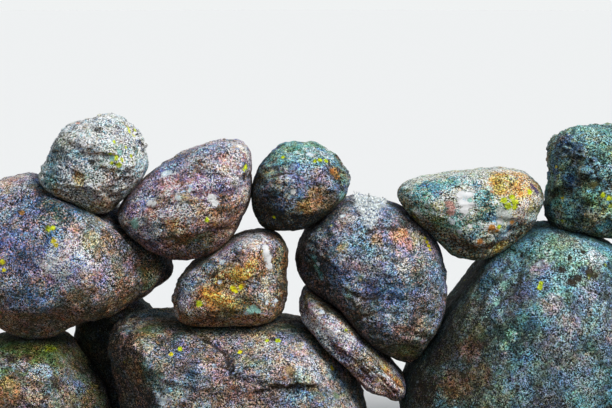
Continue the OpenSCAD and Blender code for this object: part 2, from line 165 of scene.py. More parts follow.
# The node tree of a material or a world, with short ways to add to it
class Tree:
    def __init__(self, owner):
        owner.use_nodes = True
        self.owner = owner
        self.nodes = owner.node_tree.nodes
        self.links = owner.node_tree.links

    # A socket takes a link, a tone by its name, or a plain value
    def feed(self, socket, value):
        if isinstance(value, bpy.types.NodeSocket):
            self.links.new(value, socket)
        else:
            socket.default_value = toLinear(value) if isinstance(value, str) else value

    # A node with its settings; its inputs go by name or, as i0, i1 and so on, by number
    def add(self, kind, settings=None, **inputs):
        node = self.nodes.new("ShaderNode" + kind)
        for key, value in (settings or {}).items():
            setattr(node, key, value)
        for key, value in inputs.items():
            self.feed(node.inputs[int(key[1:]) if key[1:].isdigit() else key], value)
        return node

    def math(self, operation, first, second=0.0, third=0.0):
        return self.add("Math", {"operation": operation}, i0=first, i1=second, i2=third).outputs[0]

    def vector(self, operation, first, second):
        node = self.add("VectorMath", {"operation": operation}, i0=first, i1=second)
        return node.outputs["Value" if operation in ("DISTANCE", "DOT_PRODUCT") else "Vector"]

    def scaled(self, vector, factor):
        return self.add("VectorMath", {"operation": "SCALE"}, i0=vector, Scale=factor).outputs[0]

    def mix(self, share, first, second):
        return self.add("Mix", {"data_type": "RGBA"}, i0=share, i6=first, i7=second).outputs[2]

    def times(self, value, factor, plus=0.0):
        return self.math("MULTIPLY_ADD", value, factor, plus)

    # Eases from start to end while the value goes from low to high
    def spread(self, value, low, high, start=0.0, end=1.0):
        return self.add("MapRange", {"interpolation_type": "SMOOTHSTEP"},
                        i0=value, i1=low, i2=high, i3=start, i4=end).outputs[0]

    def laid(self, colour, tone, value, *span):
        return self.mix(self.spread(value, *span), colour, tone)

    def noise(self, vector, scale, detail, roughness):
        return self.add("TexNoise", Vector=vector, Scale=scale, Detail=detail, Roughness=roughness).outputs

    def cells(self, vector, scale):
        return self.add("TexVoronoi", Vector=vector, Scale=scale).outputs

    # A vector shaken by noise, so that no cell or patch keeps a smooth edge
    def shaken(self, vector, scale, amount):
        wobble = self.vector("SUBTRACT", self.noise(vector, scale, 2.0, 0.5)["Color"], (0.5, 0.5, 0.5))
        return self.add("VectorMath", {"operation": "MULTIPLY_ADD"}, i0=wobble, i1=(amount,) * 3, i2=vector).outputs[0]

    # The three values of each cell or of each place in a noise
    def parted(self, outputs):
        return self.add("SeparateColor", Color=outputs["Color"]).outputs

    # Values, each less its middle and times its weight, added up
    def summed(self, *terms):
        total = -sum(middle * weight for value, middle, weight in terms)
        for value, middle, weight in terms:
            total = self.times(value, weight, total)
        return total

    def measured(self, name):
        return self.add("Attribute", {"attribute_name": name}).outputs["Fac"]

    # 1 for what the camera sees, straight or in something shiny or clear
    def seen(self):
        rays = self.add("LightPath").outputs
        return self.math("MAXIMUM", rays["Is Camera Ray"],
                         self.math("MAXIMUM", rays["Is Glossy Ray"], rays["Is Transmission Ray"]))


# Waves to the metre, detail and roughness
noises = {
    "mottle": (14.0, 5.0, 0.68), "streaks": (40.0, 4.0, 0.60), "drift": (6.0, 4.0, 0.60),
    "smallDrift": (13.8, 4.0, 0.65), "coarseness": (24.0, 4.0, 0.65), "ragged": (34.0, 5.0, 0.75),
    "frayed": (95.0, 3.0, 0.70), "crust": (250.0, 3.0, 0.85),
}
# Waves to the metre and how far they shake what they are laid on, in metres
shakes = {"grains": (70.0, 0.008), "crystals": (30.0, 0.03), "scatter": (22.0, 0.03)}
grains = {
    "scale": 470.0,                     # grains to the metre
    "apart": (3.7, 1.9, 2.3),           # step in the pattern from seed to seed
    "crystals": [(190.0, 0.20), (78.0, 0.22), (31.0, 0.20)],    # how many to the metre, weight
    "coarseness": (0.38, 0.62, 0.55, 1.35),                     # some places smooth, some coarse
    # The relief weight makes proud points lighter and hollows darker: painted light and shade
    "own": 2.1, "mottle": 1.2, "streaks": 0.45, "drift": 0.8, "relief": 0.045,      # weights
    "ease": 0.20,                       # how soon bright grains stop getting brighter
    "accents": [(1, 0.80, 0.84, 0.0, 0.25), (2, 0.82, 0.86, 0.0, 0.25)],            # which value, span
    "dark": (-0.15, -0.55, 0.0, 0.60), "light": (0.20, 0.70, 0.0, 0.07),
}
hues = {
    "verdure": 1.5,
    # red against blue, then green against both: which value, weights of grains, mottle, brightness and crystals
    "shifts": [(1, 0.6, 2.2, -0.08, 2.0), (2, 0.5, 2.2, -0.25, 2.0)],
}
patching = {
    "drifts": [(0.40, 0.60), (0.50, 0.64)], "driftGrain": 0.12,
    "torn": 1.8, "grain": 0.5,          # how deep noise, and the grains, tear the edges of patches
    "wide": 9,                          # pixels; wider patches have ragged edges, the others frayed ones
    "edge": (1.2, 0.8), "far": 9.0,     # times the reach
    # The under tone on faces turned down is partly stain, partly painted shade
    "top": (0.50, 1.00), "under": (-0.05, 0.55, 0.90), "sideTorn": 0.25,
    "damp": (0.75, 0.10, 0.0, 0.75), "bedShadeTorn": 0.20, "crackShade": (0.30, 0.90, 0.0, 0.75),
    "brightest": (0.93, 0.93, 0.93),
}
growth = {
    "paleness": {"white": 2.1, "frost": 1.6, "mint": 1.3, "paleGrey": 1.5},     # times the tone, 1 for the others
    "crust": 3.2, "crustGrain": 0.35, "powder": 2.5, "powderGrain": 1.2, "edge": (1.3, 1.1), "cover": 0.95,
    "spotTorn": 0.20, "spotEdge": 0.06, "chanceEdge": 0.02,
}
surface = {
    "roughness": 0.88, "specular": 0.25, "height": 0.004, "strength": 0.85,
    "mottle": 2.2, "own": 0.4, "streaks": 0.8, "lichen": 0.3,       # weights in the fine relief
}


# A stone's material: grains, drifts of tone, patches, minerals, lichens and fine relief
class Gneiss(Tree):
    def __init__(self, stone, look):
        super().__init__(bpy.data.materials.new(look["name"]))
        self.stone, self.look = stone, look
        self.place = self.add("TexCoord").outputs["Object"]
        self.addGrains()
        colour = self.lit(self.speckled(self.patched(self.facingTonesAndShade(self.drifting()))))
        # Furrows, pits and seams darkened with umber: painted shade in the recesses
        colour = self.laid(self.lichenedAndPitShaded(colour), "umber", self.measured("crackShade"), *patching["crackShade"])
        shader = self.nodes["Principled BSDF"].inputs
        self.feed(shader["Base Color"], self.vector("MINIMUM", colour, patching["brightest"]))
        self.feed(shader["Roughness"], surface["roughness"])
        self.feed(shader["Specular IOR Level"], surface["specular"])
        height = self.summed((self.mottle[0], 0.5, surface["mottle"]), (self.own[0], 0.5, surface["own"]),
                             (self.streaks, 0.5, surface["streaks"]), (self.grown, 0.0, surface["lichen"]))
        bump = self.add("Bump", Height=height, Distance=surface["height"], Strength=surface["strength"])
        self.feed(shader["Normal"], bump.outputs[0])

    # Grains with three values of their own, a mottle over every size, crystals, and streaks along the foliation
    def addGrains(self):
        look = self.look
        spot = self.add("Mapping", Vector=self.place, Location=[look["seed"] * step for step in grains["apart"]],
                        Rotation=(0, math.radians(look["foliation"]), 0)).outputs[0]
        bent = self.shaken(spot, *shakes["grains"])
        self.own = self.parted(self.cells(bent, grains["scale"]))
        self.mottle = self.parted(self.noise(spot, *noises["mottle"]))
        long = self.add("Mapping", Vector=bent, Scale=(1.0, 1.0, look["streak"])).outputs[0]
        self.streaks = self.noise(long, *noises["streaks"])[0]
        self.drifts = [self.noise(spot, *noises[kind])[0] for kind in ("drift", "smallDrift")]
        torn = self.shaken(bent, *shakes["crystals"])
        self.crystals = [(self.parted(self.cells(torn, scale)), share) for scale, share in grains["crystals"]]
        coarse = self.spread(self.noise(spot, *noises["coarseness"])[0], *grains["coarseness"])
        speckle = self.math("MULTIPLY", self.math("SUBTRACT", self.own[0], 0.5), coarse)
        self.value = self.summed((speckle, 0.0, grains["own"]), (self.mottle[0], 0.5, grains["mottle"]),
                                 (self.streaks, 0.5, grains["streaks"]), (self.drifts[0], 0.5, grains["drift"]),
                                 # Proud points lighter, hollows darker: painted light and shade
                                 (self.measured("relief"), 0.0, grains["relief"]),
                                 *[(parts[0], 0.5, share) for parts, share in self.crystals])
        self.grainy = self.times(self.own[1], patching["grain"], -patching["grain"] / 2)
        deep = patching["torn"]
        self.ragged, self.frayed = (
            self.math("ADD", self.times(self.noise(self.place, *noises[kind])[0], deep, -deep / 2), self.grainy)
            for kind in ("ragged", "frayed"))

    # Drifts of the stone's three tones
    def drifting(self):
        colour, *others = self.look["tones"]
        for tone, drift, span in zip(others, self.drifts, patching["drifts"]):
            colour = self.laid(colour, tone, self.times(self.grainy, patching["driftGrain"], drift), *span)
        return colour

    # A tone on up-facing faces, a darker underside that is partly stain and partly painted shade, and sides darkened
    # by the way they face, which is painted shade
    def facingTonesAndShade(self, colour):
        look = self.look
        facing = self.add("NewGeometry").outputs["Normal"]
        sides = [((0, 0, 1), look["top"], *patching["top"], look["topShare"]),
                 ((0, 0, -1), look["under"], *patching["under"])]
        for way, tone, low, high, amount in sides + look["sides"]:
            toward = self.vector("DOT_PRODUCT", facing, Vector(way).normalized())
            toward = self.times(self.ragged, patching["sideTorn"], toward)
            colour = self.laid(colour, tone, toward, low, high, 0.0, amount)
        return colour

    # Distance from a place in the photograph, over its reach in pixels; far where the place misses the stone
    def away(self, column, row, reach, plus=0.0):
        where = landing(self.stone, column, row)
        if where is None:
            return patching["far"]
        return self.times(self.vector("DISTANCE", self.place, where), 1 / (reach * photo["pixel"]), plus)

    # Patches at their places in the photograph, and painted shade near the beds
    def patched(self, colour):
        for tone, column, row, reach, amount in self.look["zones"]:
            away = self.away(column, row, reach, self.ragged if reach > patching["wide"] else self.frayed)
            colour = self.laid(colour, tone, away, *patching["edge"], 0.0, amount)
        # A dark tone near the ground and the neighbouring stones: painted shade
        damp = self.times(self.ragged, patching["bedShadeTorn"], self.measured("openness"))
        return self.laid(colour, self.look["damp"], damp, *patching["damp"])

    # Grains of two other minerals, dark grains and light grains
    def speckled(self, colour):
        for accent, (part, *span) in zip(self.look["accents"], grains["accents"]):
            colour = self.laid(colour, accent, self.own[part], *span)
        for kind in ("dark", "light"):
            colour = self.laid(colour, self.look[kind], self.value, *grains[kind])
        return colour

    # Hue and brightness of each grain, and the stone's own tint
    def lit(self, colour):
        powers = []
        for base, (part, own, mottle, value, crystals) in zip((self.look["warmth"], hues["verdure"]), hues["shifts"]):
            shift = self.summed((self.own[part], 0.5, own), (self.mottle[part], 0.5, mottle), (self.value, 0.0, value),
                                *[(parts[part], 0.5, share * crystals) for parts, share in self.crystals])
            powers.append(self.math("POWER", base, shift))
        red, green = powers
        hue = self.add("CombineXYZ", X=red, Y=green, Z=self.math("DIVIDE", 1.0, red)).outputs[0]
        strength = self.math("POWER", self.look["contrast"], self.value)
        strength = self.math("DIVIDE", self.math("MULTIPLY", strength, 1 + grains["ease"]),
                             self.times(strength, grains["ease"], 1.0))
        return self.vector("MULTIPLY", self.scaled(self.vector("MULTIPLY", colour, hue), strength), self.look["tint"])

    # Lichens at their places in the photograph, with umber spots that are painted shade in pits, then small lichens
    # scattered all over
    def lichenedAndPitShaded(self, colour):
        crust = self.summed((self.noise(self.place, *noises["crust"])[0], 0.5, growth["crust"]),
                            (self.own[1], 0.5, growth["crustGrain"]))
        powder = self.summed((self.own[0], 0.5, growth["powderGrain"]), (self.mottle[0], 0.5, growth["powder"]))
        lichenAndShadeMarks = []
        for tone, places in self.look["lichens"].items():
            nearest = patching["far"]
            for column, row, reach in places:
                nearest = self.math("MINIMUM", self.away(column, row, reach), nearest)
            mask = self.spread(self.math("ADD", nearest, crust), *growth["edge"])
            lichenAndShadeMarks.append((tone, growth["paleness"].get(tone, 1.0), mask, growth["cover"]))
        loose = self.shaken(self.place, *shakes["scatter"])
        for tone, scale, share, size, amount in self.look["scatter"]:
            spots = self.cells(loose, scale)
            edge = self.times(crust, growth["spotTorn"], spots["Distance"])
            inside = self.spread(edge, size + growth["spotEdge"], size - growth["spotEdge"])
            chance = self.spread(self.parted(spots)[0], 1 - share, 1 + growth["chanceEdge"] - share)
            lichenAndShadeMarks.append((tone, 1.0, self.math("MULTIPLY", inside, chance), amount))
        self.grown = 0.0
        for tone, paleness, mask, amount in lichenAndShadeMarks:
            shade = self.scaled(toLinear(tone)[:3], self.math("ADD", powder, paleness))
            colour = self.mix(self.math("MULTIPLY", mask, amount), colour, shade)
            self.grown = self.math("MAXIMUM", mask, self.grown)
        return colour


# How a solid becomes a stone, in metres and degrees
dressing = {
    "voxel": 0.0048,
    "merge": 0.00005,               # corners nearer than this are one
    "flat": 40, "square": 60,       # within which two triangles become one face
    "levels": 2, "rounds": 3,       # of rounding the cage, and of fitting the rounded skin to its corners
    "contactReach": 0.045,          # the bed's neighbourhood that stays as it was dressed
    "rearReach": 0.10,              # over which a pull on the rear grows
    "faintest": 0.001,              # weights below it count as none
    "grazing": (0.05, 0.20),        # how squarely a face looks at the camera: where carving starts, and its ease
    # pitDark: how dark the carved pits are painted, as painted shade
    "pitDark": 0.6,
    "apart": (1.3, 0.7, 2.1),       # step in the relief from seed to seed
    "flattened": 0.35,              # the relief across the foliation
    "calming": 12, "calm": 0.6,     # rounds and share of the smoothing that shows what stands proud
    "proudest": 5,                  # millimetres
}
# The skin's relief in the order it is laid on: kind, height in metres, level that stays, settings
skin = {
    "lumps": ("CLOUDS", 0.012, 0.6, {"noise_scale": 0.13, "noise_depth": 2}),
    "planes": ("VORONOI", -0.010, 0.4, {"noise_scale": 0.10, "distance_metric": "DISTANCE"}),
    "bands": ("CLOUDS", 0.007, 0.6, {"noise_scale": 0.035, "noise_depth": 3}),
    "pits": ("STUCCI", 0.005, 0.75, {"noise_scale": 0.02, "turbulence": 6.0}),
}
seams = {
    "apart": 17,                        # from seed to seed
    "turn": 8, "dip": 0.3,              # degrees off the foliation, slope towards the rear
    "offset": 0.3,                      # from the stone's middle, as a share of its size
    "span": (0.5, 1.1), "fade": 0.25,   # radians each way round the stone
    "width": 0.006, "depth": (0.002, 0.0045),
    "waves": ((0.006, 31), (0.003, 83)),    # metres, radians to the metre
    # dark: how dark the seams are painted, as painted shade
    "dark": 0.45,
}


def applyModifier(piece, kind, **settings):
    modifier = piece.modifiers.new(kind.lower(), kind)
    for key, value in settings.items():
        setattr(modifier, key, value)
    bpy.context.view_layer.objects.active = piece
    bpy.ops.object.modifier_apply(modifier=modifier.name)


# Moves the cage's corners out until the rounded skin passes through the corners of the solid
def fitRoundedSkin(piece):
    corners = [v.co.copy() for v in piece.data.vertices]
    rounding = piece.modifiers.new("rounding", "SUBSURF")
    rounding.levels = rounding.render_levels = dressing["levels"]
    for step in range(dressing["rounds"]):
        rounded = piece.evaluated_get(bpy.context.evaluated_depsgraph_get()).data
        misses = [corner - rounded.vertices[i].co for i, corner in enumerate(corners)]
        for vertex, miss in zip(piece.data.vertices, misses):
            vertex.co += miss
        piece.data.update()
    bpy.context.view_layer.objects.active = piece
    bpy.ops.object.modifier_apply(modifier=rounding.name)


cadTrees = {}
for name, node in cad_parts.items():
    corners = [v.co for v in node.data.vertices]
    cadTrees[name] = BVHTree.FromPolygons(corners, [p.vertices for p in node.data.polygons])


# How free each point is of the ground and the neighbouring stones, from 0 at a bed to 1 in the open
def openShare(piece, nodeName):
    reach = dressing["contactReach"]
    points = pointsOf(piece)
    free = np.clip(points[:, 2] / reach, 0, 1)
    for other, tree in cadTrees.items():
        if other == nodeName:
            continue
        low, high = (np.array(corner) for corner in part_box(other))
        near = np.all((points > low - reach) & (points < high + reach), axis=1)
        for index in np.flatnonzero(near):
            found = tree.find_nearest(points[index], reach)
            if found[0] is not None:
                free[index] = min(free[index], found[3] / reach)
    return free


def weighed(piece, name, weights):
    group = piece.vertex_groups.new(name=name)
    for index in np.flatnonzero(weights > dressing["faintest"]):
        group.add([int(index)], float(weights[index]), "REPLACE")


def pushOut(piece, weights, height):
    weighed(piece, "push", weights)
    applyModifier(piece, "DISPLACE", strength=height, mid_level=0.0, vertex_group="push")
    piece.vertex_groups.remove(piece.vertex_groups["push"])


# Pulls the cage's corners near places in the photograph, by so many pixels across and down
def pull(piece, look):
    points = pointsOf(piece)
    for kind in ("pulls", "rearPulls"):
        for column, row, reach, across, down in look[kind]:
            middle = atWall(column, row)
            away = np.hypot(points[:, 0] - middle[0], points[:, 2] - middle[2]) / (reach * photo["pixel"])
            share = np.clip(1 - away ** 2, 0, 1) ** 2
            if kind == "rearPulls":
                depth = points[:, 1] - (points[:, 1].min() + points[:, 1].max()) / 2
                share = share * np.clip(0.5 + depth / dressing["rearReach"], 0, 1)
            points[:, 0] += share * across * photo["pixel"]
            points[:, 2] -= share * down * photo["pixel"]
    piece.data.vertices.foreach_set("co", points.ravel())
    piece.data.update()


# Furrows, ledges and knobs seen in the photograph, in pixels; depths in metres
def carve(piece, look):
    columns, rows, facing = inPhoto(piece)
    crackShade = np.zeros(len(columns))
    start, ease = dressing["grazing"]
    turned = np.clip((facing - start) / ease, 0, 1)
    for line, width, depth in look["furrows"]:
        away, side = besideLine(columns, rows, line)
        weights = np.clip(1 - (away / width) ** 2, 0, 1) ** 2 * turned
        pushOut(piece, weights, -depth)
        if depth > 0:
            crackShade = np.maximum(crackShade, weights)
    for line, width, reach, depth in look["ledges"]:
        away, side = besideLine(columns, rows, line)
        below = np.where(side > 0, np.clip(1 - away / reach, 0, 1) * np.clip(away / width, 0, 1), 0) * turned
        pushOut(piece, below, -depth)
    for column, row, width, height in look["knobs"]:
        where = landing(piece, column, row)
        if where is None:
            continue
        away = np.linalg.norm(pointsOf(piece) - np.array(where), axis=1) / (width * photo["pixel"])
        weights = np.clip(1 - away ** 2, 0, 1) ** 2
        pushOut(piece, weights, height)
        if height < 0:
            crackShade = np.maximum(crackShade, dressing["pitDark"] * weights)
    return crackShade


# Open seams along the foliation, each part of the way round the stone
def openSeams(piece, look, crackShade):
    pick = random.Random(look["seed"] * seams["apart"])
    points = pointsOf(piece)
    middle = (points.min(axis=0) + points.max(axis=0)) / 2
    size = points.max(axis=0) - points.min(axis=0)
    tilt = math.radians(-look["foliation"] + pick.uniform(-seams["turn"], seams["turn"]))
    normal = np.array((math.sin(tilt), pick.uniform(-seams["dip"], seams["dip"]), math.cos(tilt)))
    normal /= np.linalg.norm(normal)
    across = np.cross(normal, (0, 1, 0))
    across /= np.linalg.norm(across)
    inward = np.cross(normal, across)
    (swell, swellPace), (ripple, ripplePace) = seams["waves"]
    for seam in range(look["seams"]):
        offset = pick.uniform(-seams["offset"], seams["offset"]) * float(size @ np.abs(normal))
        start = pick.uniform(0, 2 * math.pi)
        span = pick.uniform(*seams["span"])
        local = points - middle
        wave = swell * np.sin(local @ across * swellPace + start) + ripple * np.sin(local @ inward * ripplePace)
        away = np.abs(local @ normal - offset + wave) / seams["width"]
        angle = np.arctan2(local @ inward, local @ across)
        turn = np.abs((angle - start + math.pi) % (2 * math.pi) - math.pi)
        weights = np.clip(1 - away ** 2, 0, 1) * np.clip((span - turn) / seams["fade"], 0, 1)
        pushOut(piece, weights, -pick.uniform(*seams["depth"]))
        crackShade = np.maximum(crackShade, seams["dark"] * weights)
    return crackShade


# The skin's relief, none of it on the beds
def addRelief(piece, look, free):
    weighed(piece, "open", free)
    guide = bpy.data.objects.new("guide", None)
    scene.collection.objects.link(guide)
    guide.location = [look["seed"] * step for step in dressing["apart"]]
    guide.rotation_euler = (0, math.radians(look["foliation"]), 0)
    guide.scale = (1.0, 1.0, dressing["flattened"])
    bpy.context.view_layer.update()
    for name, (kind, strength, level, settings) in skin.items():
        texture = bpy.data.textures.new(name, kind)
        for key, value in settings.items():
            setattr(texture, key, value)
        applyModifier(piece, "DISPLACE", texture=texture, strength=look["shape"].get(name, strength), mid_level=level,
                      vertex_group="open", texture_coords="OBJECT", texture_coords_object=guide)
        bpy.data.textures.remove(texture)
    bpy.data.objects.remove(guide)
    piece.vertex_groups.clear()


# How far each point stands out of its surroundings, in millimetres
def standProud(piece):
    mesh = piece.data
    points = pointsOf(piece)
    ends = np.empty(len(mesh.edges) * 2, dtype=np.int32)
    mesh.edges.foreach_get("vertices", ends)
    first, second = ends[0::2], ends[1::2]
    count = np.bincount(ends, minlength=len(points))[:, None]
    calm = points.copy()
    for step in range(dressing["calming"]):
        total = np.stack([np.bincount(first, calm[second, k], len(points))
                          + np.bincount(second, calm[first, k], len(points)) for k in range(3)], axis=1)
        calm = (1 - dressing["calm"]) * calm + dressing["calm"] * total / count
    proud = ((points - calm) * pointsOf(piece, "normal")).sum(axis=1) * 1000
    return np.clip(proud, -dressing["proudest"], dressing["proudest"])


def keepAttribute(piece, name, values):
    attribute = piece.data.attributes.new(name, "FLOAT", "POINT")
    attribute.data.foreach_set("value", values.astype(np.float32))


# The CAD's name of a stone: pale_cap_stone for paleCapStone
def nodeOf(name):
    return "".join("_" + letter.lower() if letter.isupper() else letter for letter in name)


def dressStone(look):
    nodeName = nodeOf(look["name"])
    piece = bpy.data.objects.new(look["name"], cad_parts[nodeName].data.copy())
    scene.collection.objects.link(piece)
    bpy.ops.object.select_all(action="DESELECT")
    piece.select_set(True)
    bpy.context.view_layer.objects.active = piece
    bpy.ops.object.mode_set(mode="EDIT")
    bpy.ops.mesh.select_all(action="SELECT")
    bpy.ops.mesh.remove_doubles(threshold=dressing["merge"])
    bpy.ops.mesh.tris_convert_to_quads(face_threshold=math.radians(dressing["flat"]),
                                       shape_threshold=math.radians(dressing["square"]))
    bpy.ops.object.mode_set(mode="OBJECT")
    pull(piece, look)
    fitRoundedSkin(piece)
    applyModifier(piece, "REMESH", mode="VOXEL", voxel_size=max(look["voxel"], dressing["voxel"]))
    free = openShare(piece, nodeName)
    crackShade = openSeams(piece, look, carve(piece, look))
    addRelief(piece, look, free)
    piece.data.vertices.foreach_set("co", np.clip(pointsOf(piece), cadLow, cadHigh).ravel())
    piece.data.update()
    bpy.ops.object.shade_smooth()
    keepAttribute(piece, "openness", free)
    keepAttribute(piece, "crackShade", crackShade)
    keepAttribute(piece, "relief", standProud(piece))
    piece.data.materials.clear()
    piece.data.materials.append(Gneiss(piece, look).owner)
    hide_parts(nodeName)
    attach(piece, "root")
    print("dressed", look["name"], len(piece.data.polygons), "faces")


# What a stone has where its own dictionary says nothing else; places are in the photograph's pixels.
# Zones: tone, column, row, reach, share. Sides, which are painted shade: the way they face, tone, start, full,
# share. Scatter: tone, cells to the metre, how many are taken, size, share. Pulls: column, row, reach, across, down.
# Furrows: line, width, depth. Ledges: line, width, reach, depth. Knobs: column, row, reach, height. Shape: what
# differs from the skin
plainStone = {
    "tint": (0.95, 1.00, 1.00), "foliation": 0, "streak": 3.0, "contrast": 20.0, "warmth": 2.2, "voxel": 0,
    "top": "paleGrey", "topShare": 0.4, "under": "darkOlive", "damp": "darkOlive", "dark": "umber", "light": "blush",
    "sides": [], "zones": [], "lichens": {},
    "scatter": [("paleGrey", 26.0, 0.12, 0.20, 0.25), ("frost", 50.0, 0.07, 0.18, 0.45),
                ("yellowGreen", 44.0, 0.02, 0.16, 0.85), ("darkOlive", 33.0, 0.14, 0.26, 0.6)],
    "pulls": [], "rearPulls": [], "furrows": [], "ledges": [], "knobs": [], "seams": 2, "shape": {},
}
paleCap = {
    "name": "paleCapStone", "slot": "pale_granite", "seed": 1, "tint": (1.74, 2.05, 2.17), "foliation": 10,
    "contrast": 30.0, "tones": ("paleGrey", "blueGrey", "paleGrey"), "accents": ("brown", "navy"), "dark": "black",
    "light": "white", "top": "white", "topShare": 0.3, "under": "brown",
    "shape": {"pits": 0.009, "bands": 0.009},
    "pulls": [(46, 144, 26, 3, 2), (138, 127, 14, -2, 1), (76, 128, 28, -3, -4), (104, 114, 24, 0, -2)],
    "zones": [
        ("blueGrey", 70, 165, 22, 0.6), ("greyGreen", 60, 150, 16, 0.5), ("white", 100, 122, 16, 0.6),
        ("brown", 79, 177, 7, 0.85), ("brown", 111, 177, 8, 0.85), ("greyBrown", 92, 190, 14, 0.6),
        ("brown", 95, 210, 12, 0.8), ("brown", 118, 203, 10, 0.7), ("pinkGrey", 95, 193, 10, 0.5),
        ("deepTeal", 47, 180, 10, 0.8), ("greyGreen", 118, 150, 12, 0.5), ("white", 145, 150, 7, 0.8),
    ],
    "lichens": {
        "yellowGreen": [
            (129, 131, 2.4), (133, 135, 2.2), (128, 128, 1.6), (135, 130, 1.6), (116, 158, 2.2), (119, 165, 2.2),
            (131, 156, 1.6), (122, 160, 1.6), (112, 163, 1.5), (114, 142, 1.6), (126, 147, 1.3), (110, 154, 1.3),
        ],
        "mint": [(120, 152, 2.6), (112, 158, 2.2)], "frost": [(64, 130, 2.6)], "pink": [(78, 123, 2.2)],
        # Umber spots in the carved pits: painted shade
        "umber": [(98, 129, 2.8), (92, 162, 2.5), (141, 143, 3.4), (143, 150, 2.2)],
    },
    "furrows": [([(139, 152), (141, 145), (139, 139)], 2.4, 0.005)],
    "ledges": [([(66, 183), (84, 190), (104, 190), (124, 182)], 2.0, 16, 0.006)],
    "knobs": [
        (146, 146, 5.5, 0.008), (141, 142, 2.4, -0.006), (79, 177, 4.5, -0.005), (111, 176, 5.0, -0.005),
        (98, 129, 3.0, -0.004), (93, 163, 3.0, -0.003),
    ],
}
longLeft = {
    "name": "longLeftBoulder", "slot": "purple_gneiss", "seed": 2, "tint": (0.9, 1.03, 1.06), "foliation": -35,
    "tones": ("slate", "purpleGrey", "steel"), "accents": ("pink", "navy"), "top": "pinkGrey", "under": "brown",
    "damp": "darkTeal",
    "pulls": [(112, 304, 42, 0, 10)],
    "rearPulls": [(164, 268, 34, 10, 1), (155, 292, 28, 9, 8), (118, 212, 22, 3, -6)],
    # The black on right-facing faces, the darkTeal and deepTeal zones under the pale cap and the black zone at the
    # right end are painted shade
    "sides": [((1, 0.35, -0.1), "black", 0.45, 0.72, 0.95)],
    "zones": [
        ("steel", 25, 225, 34, 0.85), ("navy", 22, 262, 22, 0.6), ("blueGrey", 12, 215, 14, 0.6),
        ("steel", 30, 300, 24, 0.7), ("pink", 10, 180, 18, 0.9), ("lilac", 28, 180, 12, 0.7),
        ("darkTeal", 62, 205, 22, 0.95), ("deepTeal", 84, 212, 14, 0.9), ("lilac", 66, 262, 22, 0.95),
        ("purple", 84, 274, 16, 0.8), ("blush", 58, 268, 10, 0.5), ("lilac", 92, 268, 10, 0.6),
        ("greyBrown", 100, 234, 22, 0.9), ("sand", 92, 240, 9, 0.6), ("brown", 112, 250, 18, 0.7),
        ("sand", 116, 268, 12, 0.4), ("brown", 142, 252, 26, 0.9), ("olive", 150, 275, 16, 0.8),
        ("brown", 118, 296, 22, 0.85), ("deepTeal", 146, 262, 6, 0.6), ("brown", 130, 290, 16, 0.7),
        ("brown", 90, 288, 18, 0.7), ("greyBrown", 70, 300, 18, 0.5), ("brown", 80, 320, 32, 0.92),
        ("darkOlive", 100, 318, 14, 0.7), ("brown", 20, 325, 26, 0.8), ("black", 168, 268, 10, 0.9),
    ],
    "lichens": {
        "yellow": [(54, 241, 2.6), (56, 245, 1.8), (2, 262, 2.4), (4, 270, 1.6)],
        "yellowGreen": [(48, 229, 2.2), (53, 228, 2.0)], "ochre": [(22, 213, 2.4)],
    },
    "furrows": [([(86, 214), (104, 226), (118, 238), (130, 250)], 7, -0.006)],
    "ledges": [([(134, 250), (120, 236), (104, 222), (88, 210)], 3.0, 20, 0.007)],
}
tiltedCap = {
    "name": "tiltedCapStone", "slot": "pink_gneiss", "seed": 3, "tint": (1.16, 1.23, 1.32), "foliation": -20,
    "tones": ("purpleGrey", "greyBrown", "pinkGrey"), "accents": ("rust", "navy"), "top": "blueGrey",
    "under": "umber",
    "rearPulls": [(122, 205, 12, -5, 2)],
    "zones": [
        ("steel", 172, 162, 18, 0.85), ("slate", 198, 150, 16, 0.85), ("navy", 182, 158, 7, 0.6),
        ("blueGrey", 222, 143, 12, 0.7), ("cream", 243, 148, 8, 0.9), ("pinkGrey", 210, 166, 12, 0.6),
        ("pink", 228, 168, 12, 0.85), ("orange", 226, 170, 6, 0.6), ("blush", 236, 176, 8, 0.6),
        ("purple", 205, 188, 14, 0.7), ("plum", 226, 190, 12, 0.6), ("purple", 150, 190, 14, 0.5),
        ("pink", 168, 186, 10, 0.5), ("brown", 222, 208, 12, 0.7), ("rust", 150, 213, 8, 0.5),
        ("sand", 246, 196, 8, 0.7), ("lilac", 180, 212, 12, 0.5), ("pinkGrey", 150, 228, 12, 0.6),
        ("brown", 190, 226, 16, 0.6), ("rust", 172, 224, 7, 0.5), ("brown", 225, 228, 20, 0.9),
        ("brown", 180, 242, 18, 0.8), ("olive", 200, 243, 16, 0.8), ("umber", 190, 256, 18, 0.95),
        ("plum", 130, 212, 8, 0.7), ("steel", 128, 202, 8, 0.6),
    ],
    "lichens": {
        "white": [(211, 198, 3.2), (215, 203, 2.8), (214, 198, 2.4), (150, 203, 2.6), (154, 204, 2.6)],
        "frost": [(166, 174, 4.0), (178, 198, 2.4), (170, 173, 2.4), (190, 190, 1.8)], "mint": [(135, 224, 4.4)],
        "yellowGreen": [(246, 167, 2.6), (244, 170, 1.8), (207, 220, 2.0)],
    },
    "furrows": [
        ([(188, 204), (202, 202), (214, 198)], 1.6, 0.003), ([(204, 229), (222, 232), (240, 229)], 1.8, 0.005),
    ],
    "ledges": [
        ([(160, 240), (178, 238), (199, 233), (222, 229), (240, 222)], 2.0, 14, 0.007),
        ([(186, 186), (196, 190), (208, 190)], 2.0, 12, 0.004),
    ],
}
